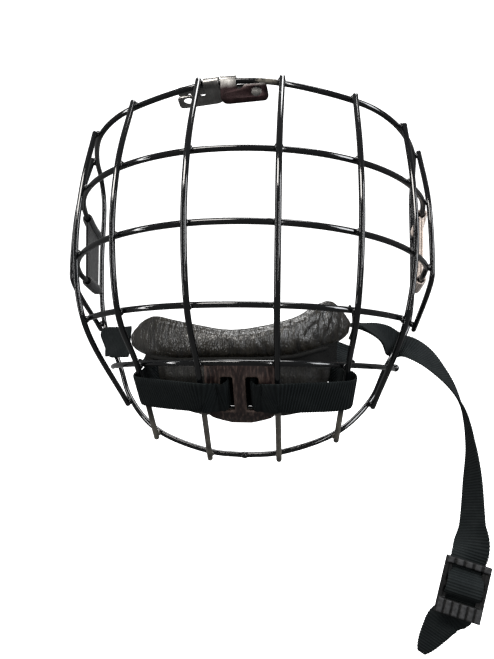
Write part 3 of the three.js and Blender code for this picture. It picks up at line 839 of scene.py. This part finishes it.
def turn_round(spot, heading, angles, slack=0.0):
    """Stops of webbing that turns round a wire, from its front face (0 degrees) on."""
    at, along = spot
    onward = (heading - along * heading.dot(along)).normalized()
    front = onward.cross(along)
    front *= -1 if front.y > 0 else 1
    reach = TURN_R + slack
    turns = [math.radians(degrees) for degrees in angles]
    return [(at + front * reach * math.cos(a) + onward * reach * math.sin(a), along) for a in turns]


def lower_strap(paths, slack):
    """From inside the cup through its slot, across the front, round an upright and back into the cup."""
    slope = vec(0, 0.72, -0.69)
    front = turn_round(wire_at(paths["upright_inner_left"], -158.5, 1), vec(1, 0, 0), [0])[0]
    middle = wire_at(paths["upright_middle_left"], -154, 1)
    turn = turn_round(middle, vec(1, 0.1, 0.2), [0, 45, 90, 135, 170], slack)
    threaded = [(16, -5), (11.5, -5.2), (7.4, -4), (6, -1), (7.6, 2.6), (11, 3.6)]
    route = [(cup_point(x, SLOT["down"], lift), slope) for x, lift in threaded]
    return route + [front] + turn + [
        (vec(51.6, 38.5, -150), vec(-0.1, 0.62, -0.7)),
        (vec(51, 43.6, -144), vec(-0.5, 0.4, -0.5)),
        (vec(50.5, 48.5, -138.6), vec(-0.74, -0.4, -0.2)),
        (vec(50.8, 53.6, -132), vec(-0.76, -0.55, -0.05)),
        (vec(51, 55.6, -127), vec(-0.78, -0.6, 0)),
    ]


def upper_strap(paths):
    """From the pad's right end round the rim's lower rear corner."""
    corner = wire_at(paths["rim_wire"], -125, -1)
    turn = turn_round(corner, vec(-0.68, 0.73, 0), [0, 45, 90, 135, 180], 1)
    along = corner[1]
    back = (turn[4][0] + vec(3.2, -3.6, 3), along)
    return [(vec(-71.8, 69, -126), along), (vec(-80, 77, -125.6), along), *turn, back]


def make_short_straps(paths):
    left = lower_strap(paths, TURN_SLACK["left"])
    right = [(mirrored(at), mirrored(wide)) for at, wide in lower_strap(paths, TURN_SLACK["right"])]
    routes = {"strap_lower_left": left, "strap_lower_right": right, "strap_upper_right": upper_strap(paths)}
    for name, route in routes.items():
        dress(make_object(strap_mesh(route)[0], f"{name}_visual", 60), "webbing", name)


# ---------- the long strap and its slide ----------
RIM_LEAN = vec(-0.46, -0.52, -0.72)
LONG_STRAP = [
    (vec(57.6, 58, -117.4), vec(0.63, -0.75, -0.15)),
    (vec(73.5, 78, -119.5), vec(0.1, -0.8, -0.5)),
    (vec(85.6, 93.6, -123.3), RIM_LEAN),
    (vec(91, 96.6, -124.9), RIM_LEAN),
    (vec(97, 94.9, -126.7), vec(-0.46, -0.6, -0.66)),
    (vec(105.2, 91, -132.6), vec(-0.45, -0.7, -0.52)),
    (vec(113.2, 87, -142), vec(-0.38, -0.85, -0.35)),
    (vec(118.8, 83, -151.2), vec(-0.3, -0.92, -0.2)),
    (vec(123.9, 76, -166.4), vec(-0.1, -1, 0)),
    (vec(125.6, 71, -184), vec(0.05, -1, 0)),
    (vec(124.9, 66, -203.4), vec(0.3, -0.9, 0)),
    (vec(123, 61, -226), vec(0.5, -0.85, -0.1)),
]
TAIL = [
    (vec(107, 59.5, -275), vec(0.9, -0.1, -0.42)),
    (vec(101.8, 61.5, -282.6), vec(0.86, -0.05, -0.5)),
    (vec(95.2, 64, -293.6), vec(0.8, 0, -0.6)),
]
SLIDE = dict(width=24, length=29.4, thick=2.6, rail=2, middle=12.6, bar=3)
SLIDE_AXES = (
    vec(0.962, 0, -0.272),
    vec(-0.27, -0.08, -0.96).normalized(),
    vec(0.022, -0.997, 0.077).normalized(),
)
SLIDE_AT = vec(119.6, 54.5, -243.4)
TIP_START = 0.88


def on_slide(across, down, out):
    return SLIDE_AT + SLIDE_AXES[0] * across + SLIDE_AXES[1] * down + SLIDE_AXES[2] * out


def threaded_route():
    """The strap goes behind the slide's top bar, over its middle bar and behind its grip."""
    across = SLIDE_AXES[0]
    behind = -SLIDE["thick"] / 2 - CLEARANCE - WEBBING_T / 2 - 0.2
    over = -behind
    stops = [
        (-6, behind * 0.9),
        (0.4, behind),
        (3.7, behind * 0.95),
        (7.6, 0),
        (11.4, over * 0.95),
        (SLIDE["middle"] + SLIDE["bar"] / 2, over),
        (16.8, over * 0.85),
        (18.7, 0),
        (20.8, behind * 0.95),
        (24, behind - 0.6),
        (29.5, behind - 2.4),
    ]
    route = [(on_slide(0, down, out), across) for down, out in stops]
    still_turning = (route[0][0], vec(0.93, -0.28, -0.25))
    return [still_turning] + route[1:]


def tapered(t):
    """Half the strap's width, which is cut to a rounded point at its end."""
    share = max(t - TIP_START, 0) / (1 - TIP_START)
    return WEBBING_W / 2 * math.sqrt(1 - share ** 2 * 0.94)


def make_slide():
    """The ladder slide: the CAD's frame with every edge rounded as moulded plastic is."""
    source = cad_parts["strap_slide"]
    obj = link(source.data.copy(), "strap_slide_visual")
    bm = bmesh.new()
    bm.from_mesh(obj.data)
    bmesh.ops.remove_doubles(bm, verts=bm.verts, dist=1e-6)
    for sign in (-1, 1):
        add_rail_lip(bm, sign)
    bm.to_mesh(obj.data)
    bm.free()
    remesh = obj.modifiers.new("voxels", "REMESH")
    remesh.mode = "VOXEL"
    remesh.voxel_size = 0.00034
    smooth = obj.modifiers.new("rounding", "SMOOTH")
    smooth.factor = 0.5
    smooth.iterations = 5
    apply_modifiers(obj)
    shade(obj.data, 180)
    mark_wear_and_reflection(obj.data, raised_on_slide)
    return dress(obj, "moulded_plastic", "strap_slide")


def add_rail_lip(bm, sign):
    """A thin lip along the inner side of a rail, which keeps the webbing's edge in."""
    half = SLIDE["width"] / 2
    thin_edge, root = (half - SLIDE["rail"] - 2.2, 0.35), (half - 1, 0.7)
    corners = []
    for across, thick in (thin_edge, root):
        for down in (1, SLIDE["length"] - 1):
            corners += [bm.verts.new(on_slide(sign * across, down, out) * MM) for out in (-thick, thick)]
    bmesh.ops.convex_hull(bm, input=corners)


def raised_on_slide(point):
    """The bumps and ribs of the slide's front are rubbed grey."""
    out = (point - SLIDE_AT).dot(SLIDE_AXES[2])
    return clamp((out - SLIDE["thick"] / 2 - 0.05) / 0.6)


def make_long_strap():
    route = [*LONG_STRAP, *threaded_route(), *TAIL]
    bm, path = strap_mesh(route, tapered)
    slide = make_slide()
    strap = dress(make_object(bm, "strap_long_visual", 60), "webbing", "strap_long")
    line = [path.at(t) * MM for _, t in path.spaced(2.0)]


# ---------- side loops ----------
LOOP = dict(width=18, middle=79, thick=1.2, eye=WIRE_D / 2 + 0.5)


def tail_at(path, y, side):
    run = [p for p in path.samples if p.x * side > 0]
    return min(run, key=lambda p: abs(p.y - y))


def loop_line(height):
    """The folded band's middle line: round the lower wire, up, round the upper wire and down."""
    radius = LOOP["eye"] + LOOP["thick"] / 2
    apart = LOOP["thick"] / 2 + 0.06
    neck = math.asin(apart / radius)

    def eye(start, rise):
        turns = [start + neck + (2 * math.pi - 2 * neck) * i / 24 for i in range(25)]
        return [(radius * math.cos(a), rise + radius * math.sin(a)) for a in turns]

    def run(across, low, high):
        return [(across, mix(low, high, i / 10)) for i in range(1, 10)]

    low, high = radius, height - radius
    return eye(math.pi / 2, 0) + run(apart, low, high) + eye(-math.pi / 2, height) + run(-apart, high, low)


def make_side_loop(paths, name, side, slot):
    """A band folded round the turned-back ends of the brow and eye bars, its two runs laid together."""
    brow, eye = paths["bar_brow"], paths["bar_eye"]
    height = tail_at(brow, LOOP["middle"], side).z - tail_at(eye, LOOP["middle"], side).z
    line = loop_line(height)
    section = webbing_section(LOOP["width"] / 2, LOOP["thick"], 9)
    feet = {across: tail_at(eye, LOOP["middle"] + across, side) for across, _ in section}
    tops = {across: tail_at(brow, LOOP["middle"] + across, side) for across, _ in section}
    rings, stations, length = [], [], 0.0
    for i in range(len(line) + 1):
        here, onward = line[i % len(line)], line[(i + 1) % len(line)]
        before = line[(i - 1) % len(line)]
        run = Vector((onward[0] - before[0], onward[1] - before[1])).normalized()
        out = Vector((run.y, -run.x))
        ring = []
        for across, through in section:
            share = clamp(here[1] / height)
            x = here[0] + out.x * through + mix(feet[across].x, tops[across].x, share)
            lift = mix(feet[across].z, tops[across].z - height, share)
            ring.append(vec(x, LOOP["middle"] + across, here[1] + out.y * through + lift))
        rings.append(ring)
        stations.append(length)
        length += math.dist(here, onward)
    around = [across + LOOP["width"] / 2 for across, _ in section] + [0]
    bm = bmesh.new()
    skin(bm, rings, stations, around)
    dress(make_object(bm, f"{name}_visual", 60), slot, name)


# ---------- chin pad ----------
PAD_EDGES = [
    (-71, -118, -132),
    (-61, -115, -135),
    (-50, -114, -137.5),
    (-38, -117.5, -139.8),
    (-20, -122.3, -140.3),
    (-5, -124.8, -140.3),
    (12, -122.5, -140),
    (28, -117, -138),
    (40, -108.5, -134),
    (48, -105.7, -131.5),
    (58, -111.5, -127),
]
PAD = dict(left=58.5, right=-71, thick=15, front=8.2, blunt=10, inset=0.8)
PAD_MIDDLE = (PAD["left"] + PAD["right"]) / 2
PAD_HALF = (PAD["left"] - PAD["right"]) / 2
BOW = dict(depth=38, reach=60)


def bow_at(x):
    return BOW["depth"] * (x / BOW["reach"]) ** 2


def pad_edges_at(x):
    """Heights of the pad's top and lower edges."""
    rows = PAD_EDGES
    x = clamp(x, rows[0][0], rows[-1][0])
    i = min(bisect.bisect_right([row[0] for row in rows], x) - 1, len(rows) - 2)

    def slope(k, column):
        a, b = rows[max(k - 1, 0)], rows[min(k + 1, len(rows) - 1)]
        return (b[column] - a[column]) / (b[0] - a[0])

    span = rows[i + 1][0] - rows[i][0]
    s = (x - rows[i][0]) / span
    values = []
    for column in (1, 2):
        a, b = rows[i][column], rows[i + 1][column]
        leave, arrive = slope(i, column) * span, slope(i + 1, column) * span
        values.append(((2 * a - 2 * b + leave + arrive) * s + 3 * b - 3 * a - 2 * leave - arrive) * s * s
                      + leave * s + a)
    return values


def pad_section(x, inset=0.0):
    """The pad's section at x: its middle's depth and height, half its thickness and half its height."""
    top, foot = pad_edges_at(x)
    end = math.sqrt(max(1 - abs((x - PAD_MIDDLE) / (PAD_HALF - inset)) ** PAD["blunt"], 0))
    depth = PAD["front"] + bow_at(x) + PAD["thick"] / 2
    return depth, (top + foot) / 2, (PAD["thick"] / 2 - inset) * end, ((top - foot) / 2 - inset) * end


def pad_surface(along, angle, inset):
    """A point of the pad's skin: along runs from end to end (-1 to 1), angle goes round it."""
    x = PAD_MIDDLE + (PAD_HALF - inset) * (1.5 * along - 0.5 * along ** 3)
    depth, height, thick, rise = pad_section(x, inset)
    return vec(x, depth - thick * math.cos(angle), height + rise * math.sin(angle))


def pad_blank():
    """The pad before it is stuffed, a little smaller than it ends up."""
    count, sides = 61, 28
    turns = [2 * math.pi * j / sides for j in range(sides)]
    bm = bmesh.new()
    rings = []
    for i in range(count):
        along = math.sin(math.pi / 2 * clamp(2 * i / (count - 1) - 1, -0.985, 0.985))
        rings.append([pad_surface(along, turn, PAD["inset"]) for turn in turns])
    skin(bm, rings, [0.0] * count, [0.0] * (sides + 1))
    return make_object(bm, "chin_pad_visual", 180)


def relax(obj, rounds):
    smooth = obj.modifiers.new("relax", "SMOOTH")
    smooth.factor = 0.5
    smooth.iterations = rounds
    apply_modifiers(obj)


def stuff(obj, voxel, pressure, cap):
    """Inflates a closed skin as cloth, no point moving further than the cap."""
    remesh = obj.modifiers.new("remesh", "REMESH")
    remesh.mode = "VOXEL"
    remesh.voxel_size = voxel
    apply_modifiers(obj)
    relax(obj, 2)
    before = [v.co.copy() for v in obj.data.vertices]
    cloth = obj.modifiers.new("cloth", "CLOTH")
    settings = cloth.settings
    settings.use_pressure = True
    settings.uniform_pressure_force = pressure
    settings.quality = 6
    settings.tension_stiffness = 20
    settings.bending_stiffness = 0.6
    settings.effector_weights.gravity = 0
    cloth.point_cache.frame_start = 1
    cloth.point_cache.frame_end = 20
    for step in range(1, 21):
        bpy.context.scene.frame_set(step)
    apply_modifiers(obj)
    bpy.context.scene.frame_set(1)
    for vertex, start in zip(obj.data.vertices, before):
        move = vertex.co - start
        if move.length > cap:
            vertex.co = start + move.normalized() * cap
    relax(obj, 2)
    subdivide = obj.modifiers.new("smooth", "SUBSURF")
    subdivide.levels = 2
    apply_modifiers(obj)
    shade(obj.data, 180)


def groove(point, ends, width):
    """1 on the line between two (x, z) ends, falling to 0 at the width."""
    start, end = Vector(ends[0]), Vector(ends[1])
    flat = Vector((point.x, point.z))
    run = end - start
    share = clamp((flat - start).dot(run) / run.length_squared)
    gap = (flat - start - run * share).length
    return math.exp(-(gap / width) ** 2)


PAD_SEAMS = [
    ((-64.5, -117), (-66.2, -124)),
    ((-66.2, -124), (-64.6, -131.5)),
    ((-64.6, -131.5), (-59, -136)),
]
PAD_CREASES = [
    ((49, -111), (45.5, -124)),
    ((45, -112), (40, -121)),
    ((52.5, -113), (51.5, -124)),
    ((38, -121), (33, -128)),
    ((-46, -117.5), (-30, -121.6)),
]


def hold_to_pattern(mesh, slack):
    """Keeps the stuffed pad's section within a small share of its cut pattern."""
    hair = 0.05
    for vertex in mesh.vertices:
        point = vertex.co / MM
        x = PAD_MIDDLE + clamp((point.x - PAD_MIDDLE) * 1.012, hair - PAD_HALF, PAD_HALF - hair)
        depth, height, thick, rise = pad_section(x)
        back, up = point.y - depth, point.z - height
        fullness = max(math.hypot(back / (thick + hair), up / (rise + hair)), 1e-3)
        scale = clamp(fullness, 1 - slack, 1 + slack) / fullness
        vertex.co = vec(x, depth + back * scale, height + up * scale) * MM


def crease_pad(mesh):
    """Sewn seam, creases and the many fine wrinkles that cross the pad's front."""
    normals = [v.normal.copy() for v in mesh.vertices]
    for vertex, normal in zip(mesh.vertices, normals):
        point = vertex.co / MM
        facing = clamp(-normal.y * 1.6)
        top, foot = pad_edges_at(point.x)
        drop = 0.0
        for seam in PAD_SEAMS:
            drop = max(drop, 0.9 * groove(point, seam, 0.9))
        for crease in PAD_CREASES:
            drop = max(drop, 0.75 * groove(point, crease, 1.0))
        rim_line = (point.z - (top - 2.6)) / 0.8
        drop = max(drop, 0.45 * math.exp(-rim_line ** 2))
        share = clamp((point.x + 60) / 110)
        ripple = noise.noise(vec(point.x * 0.55, 3.1, point.z * 0.1)) * (0.3 + 0.35 * share)
        ripple += noise.noise(vec(point.x * 0.2 + point.z * 0.15, point.z * 0.12, 8.4)) * 0.5
        vertex.co += normal * (ripple * facing - drop * facing) * MM


def make_chin_pad():
    pad = pad_blank()
    stuff(pad, 0.0036, 4.0, 0.003)
    hold_to_pattern(pad.data, 0.025)
    relax(pad, 2)
    crease_pad(pad.data)
    dress(pad, "pad_vinyl", "chin_pad")


def make_welt():
    """The gusset from the pad's foot to the cup, the cord sewn along it, and the piping up the left end;
    their black felt is partly painted shade, for they lie in the pad's shadow.
    """
    bm = bmesh.new()
    across = [mix(-56, 50, i / 40) for i in range(41)]
    thick = vec(0, 1.3, 0.1)
    rings, cord = [], []
    for x in across:
        _, foot = pad_edges_at(x)
        front = PAD["front"] + bow_at(x)
        high, low = vec(x, front + 4.6, foot + 2.2), cup_point(x, 0.03, -0.9)
        line = [high, (high + low) / 2 + vec(0, 0.6, 0), low]
        rings.append([p - thick / 2 for p in line] + [p + thick / 2 for p in reversed(line)])
        cord.append(vec(x, front + 2.4, foot - 0.1))
    skin(bm, rings, across, [0.0] * 7)
    add_tube(bm, Path(cord[2:-2], 6), 1.05, sides=10)
    piping = [
        vec(56.6, 41.5, -108.4),
        vec(58.6, 44.2, -112),
        vec(59, 45.2, -117),
        vec(58.4, 44.8, -122.5),
        vec(56.6, 43, -127),
    ]
    add_tube(bm, Path(piping, 10), 0.75, sides=10)
    # The black felt here stands partly for the pad's shadow: painted shade.
    dress(make_object(bm, "chin_pad_welt"), "liner_felt", None)


# ---------- chin cup ----------
CUP = dict(shell=2.4, panel=1.6, liner=2.5, liner_lift=-6.5, liner_top=0.1)
CUP_PROFILE = Path([
    vec(0, 11.5, -142),
    vec(0, 14, -149.5),
    vec(0, 20, -157.5),
    vec(0, 27.5, -165),
    vec(0, 31.8, -168.6),
])
CUP_DROP = 33
CUP_CLOTH_DROP = 33.6
SLOT = dict(inner=3.1, outer=9.6, down=0.5, top=0.22, foot=0.74)
PANEL_LIP = 1.12


def cup_point(x, down, lift):
    """A point above the cup's outer face: down runs from 0 at the pad to 1 at the lower lip."""
    here, slope = CUP_PROFILE.at(down), CUP_PROFILE.tangent(down)
    here = here + vec(0, 0.45, -0.89) * max(down - 1, 0) * CUP_PROFILE.length
    turn = 2 * BOW["depth"] * (x / BOW["reach"] ** 2)
    normal = vec(-turn * slope.z, slope.z, -slope.y).normalized()
    return vec(x, here.y + bow_at(x), here.z) + normal * lift


def wing_half(down):
    """Half the shell's width, which narrows to its lower edge."""
    return 47 * math.sqrt(1 - (0.9 * down) ** 2.2)


def panel_half(down):
    """Half the panel's width: its lower lip is rounded like the edge of a lens."""
    return 17.5 * math.sqrt(1 - (max(down - 0.8, 0) / 0.33) ** 2.6)


def cup_sheet(name, half_at, lifts, holes, fixed, columns, top=0.0, foot=1.0):
    """A curved sheet with openings: holes are (x from, x to, down from, down to)."""
    bm = bmesh.new()
    uv = bm.loops.layers.uv.verify()
    wear_and_reflection = bm.verts.layers.float.new("wear_and_reflection")
    downs = sorted({top, top + 0.03, foot - 0.03, foot, *[h[2] for h in holes], *[h[3] for h in holes],
                    *[0.1 * i for i in range(1, 11) if top + 0.05 < 0.1 * i < foot - 0.05]})
    shares = [i / columns for i in range(1, columns + 1)]
    right = sorted({0, *fixed})

    def column_x(place, down):
        side, k = place
        squeeze = min(1, half_at(down) / (right[-1] + 1))
        if k < len(right):
            return side * right[k] * squeeze
        return side * mix(right[-1] * squeeze, half_at(down), shares[k - len(right)])

    count = len(right) + len(shares)
    order = [(-1, k) for k in range(count - 1, 0, -1)] + [(1, k) for k in range(count)]
    layers = []
    for lift in lifts:
        grid = []
        for down in downs:
            row = []
            for place in order:
                x = column_x(place, down)
                vertex = bm.verts.new(cup_point(x, down, lift) * MM)
                edge_gap = min(down - top, foot - down) * CUP_DROP
                edge_gap = min([edge_gap, half_at(down) - abs(x)] + [gap_to(h, x, down) for h in holes])
                vertex[wear_and_reflection] = clamp(1 - edge_gap / 1.2)
                row.append((vertex, (x * MM, down * CUP_CLOTH_DROP * MM)))
            grid.append(row)
        layers.append(grid)

    def is_hole(i, j):
        middle = (column_x(order[j], 0.5) + column_x(order[j + 1], 0.5)) / 2
        down = (downs[i] + downs[i + 1]) / 2
        return any(h[0] < middle < h[1] and h[2] < down < h[3] for h in holes)

    rows, cols = len(downs) - 1, len(order) - 1
    kept = {(i, j) for i in range(rows) for j in range(cols) if not is_hole(i, j)}

    def face(corners):
        made = bm.faces.new([corner[0] for corner in corners])
        for loop, corner in zip(made.loops, corners):
            loop[uv].uv = corner[1]

    for i, j in kept:
        for grid in layers:
            face([grid[i][j], grid[i][j + 1], grid[i + 1][j + 1], grid[i + 1][j]])
        walls = (((i - 1, j), (i, j), (i, j + 1)), ((i + 1, j), (i + 1, j + 1), (i + 1, j)),
                 ((i, j - 1), (i + 1, j), (i, j)), ((i, j + 1), (i, j + 1), (i + 1, j + 1)))
        for neighbour, a, b in walls:
            if neighbour not in kept:
                outer, inner = layers
                face([outer[a[0]][a[1]], outer[b[0]][b[1]], inner[b[0]][b[1]], inner[a[0]][a[1]]])
    bmesh.ops.delete(bm, geom=[v for v in bm.verts if not v.link_faces], context="VERTS")
    obj = make_object(bm, f"{name}_visual", 180)
    subdivide = obj.modifiers.new("round", "SUBSURF")
    subdivide.levels = 2
    apply_modifiers(obj)
    shade(obj.data, 60)
    return obj


def gap_to(hole, x, down):
    """Distance from a point of the sheet to the nearest edge of an opening, in millimetres."""
    across = max(hole[0] - x, x - hole[1], 0)
    along = max(hole[2] - down, down - hole[3], 0) * CUP_DROP
    return math.hypot(across, along)


def make_cup():
    outer = CUP["panel"] + CLEARANCE
    lift = CUP["liner_lift"]
    slots = [(side * SLOT["inner"], side * SLOT["outer"], SLOT["top"], SLOT["foot"]) for side in (-1, 1)]
    slots = [(min(a, b), max(a, b), c, d) for a, b, c, d in slots]
    steps = (2.2, SLOT["inner"], 5, 7.4, SLOT["outer"], 10.4)
    shell = cup_sheet("cup_shell", wing_half, (0, -CUP["shell"]), slots, steps, 10)
    panel = cup_sheet("cup_panel", panel_half, (outer, CLEARANCE), slots, steps, 4, foot=PANEL_LIP)
    inside = (lift, lift - CUP["liner"])
    liner = cup_sheet("cup_liner", lambda down: wing_half(down) - 3, inside, [], (6, 12), 6, CUP["liner_top"])
    ripple_shell(shell.data)
    dress(shell, "cup_vinyl", "cup_shell")
    dress(panel, "brown_leather", "cup_panel")
    dress(liner, "liner_felt", "cup_liner")


def ripple_shell(mesh):
    """Soft folds in the cup's two wings."""
    normals = [v.normal.copy() for v in mesh.vertices]
    for vertex, normal in zip(mesh.vertices, normals):
        point = vertex.co / MM
        wing = clamp((abs(point.x) - 18) / 8)
        fold = noise.noise(vec(point.x * 0.24, 1.7, point.z * 0.1)) * 0.6 * wing
        vertex.co += normal * fold * MM


# ---------- light and floor ----------
def make_floor():
    """A wide round sheet of pale paper that lies under the object and curves up far around it."""
    bm = bmesh.new()
    middle, flat, bend, height, sides = 0.3, 1.6, 0.9, 4.0, 96
    profile = [(middle, 0.0), (flat, 0.0)]
    for i in range(1, 25):
        angle = math.pi / 2 * i / 24
        profile.append((flat + bend * math.sin(angle), bend * (1 - math.cos(angle))))
    profile.append((flat + bend, height))
    turns = [2 * math.pi * i / sides for i in range(sides)]
    rings = [[bm.verts.new((r * math.cos(a), r * math.sin(a), z)) for a in turns] for r, z in profile]
    bm.faces.new(rings[0])
    for low, high in zip(rings, rings[1:]):
        for i in range(sides):
            bm.faces.new((low[i - 1], low[i], high[i], high[i - 1]))
    floor = make_object(bm, "floor", 60)
    floor.location = (0, 0, cad_low.z - 0.04)
    floor.visible_glossy = False
    floor.visible_diffuse = False
    s = Surface("floor_paper")
    colour = s.blend(s.noise(3, 2), (0.90, 0.90, 0.90), (0.94, 0.94, 0.94))
    floor.data.materials.append(s.finish(colour, 0.9, Specular_IOR_Level=0.1))
    floor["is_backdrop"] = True


def add_light(name, at, aim, size, power, colour=(1, 1, 1)):
    data = bpy.data.lights.new(name, "AREA")
    data.shape = "RECTANGLE"
    data.size, data.size_y = size
    data.energy = power
    data.color = colour
    light = bpy.data.objects.new(name, data)
    light.location = at
    light.rotation_euler = (Vector(aim) - Vector(at)).to_track_quat("-Z", "Y").to_euler()
    bpy.context.scene.collection.objects.link(light)
    return light


def link_light(lights, lit_objects):
    """Makes these lights fall on these objects alone."""
    lit = bpy.data.collections.new(f"lit_by_{lights[0].name}")
    for obj in lit_objects:
        lit.objects.link(obj)
    for light in lights:
        light.light_linking.receiver_collection = lit


def make_light():
    """Softboxes light the cage, and a ceiling light whitens the paper, so each is set on its own."""
    world = bpy.data.worlds.new("studio")
    world.use_nodes = True
    background = world.node_tree.nodes["Background"]
    background.inputs["Color"].default_value = (1, 1, 1, 1)
    background.inputs["Strength"].default_value = 0.2
    bpy.context.scene.world = world
    middle = (0, 0.03, -0.09)
    softboxes = [
        add_light("key", (-0.3, -0.6, 0.5), middle, (0.5, 0.25), 11, (1, 0.97, 0.93)),
        add_light("side", (0.8, -0.3, 0.15), middle, (0.2, 0.6), 7, (0.95, 0.97, 1)),
        add_light("top", (0.05, 0.15, 0.8), middle, (0.6, 0.25), 8),
        add_light("left_strip", (-0.7, -0.25, -0.05), middle, (0.05, 0.8), 3),
        add_light("right_strip", (0.35, -0.75, -0.1), middle, (0.04, 0.7), 2.5),
    ]
    ceiling = add_light("ceiling", (0, 0, 3.2), (0, 0, 0), (3.4, 3.4), 460)
    link_light(softboxes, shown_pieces())
    link_light([ceiling], [bpy.data.objects["floor"]])
    bpy.context.scene.view_settings.view_transform = "Standard"


make_camera()
make_surfaces()
wires = wire_paths()
make_long_strap()
make_wires(wires)
make_clips(wires["rim_wire"])
make_side_loop(wires, "side_loop_left", 1, "pale_band")
make_side_loop(wires, "side_loop_right", -1, "grey_band")
make_chin_pad()
make_welt()
make_cup()
make_short_straps(wires)
make_floor()
make_light()
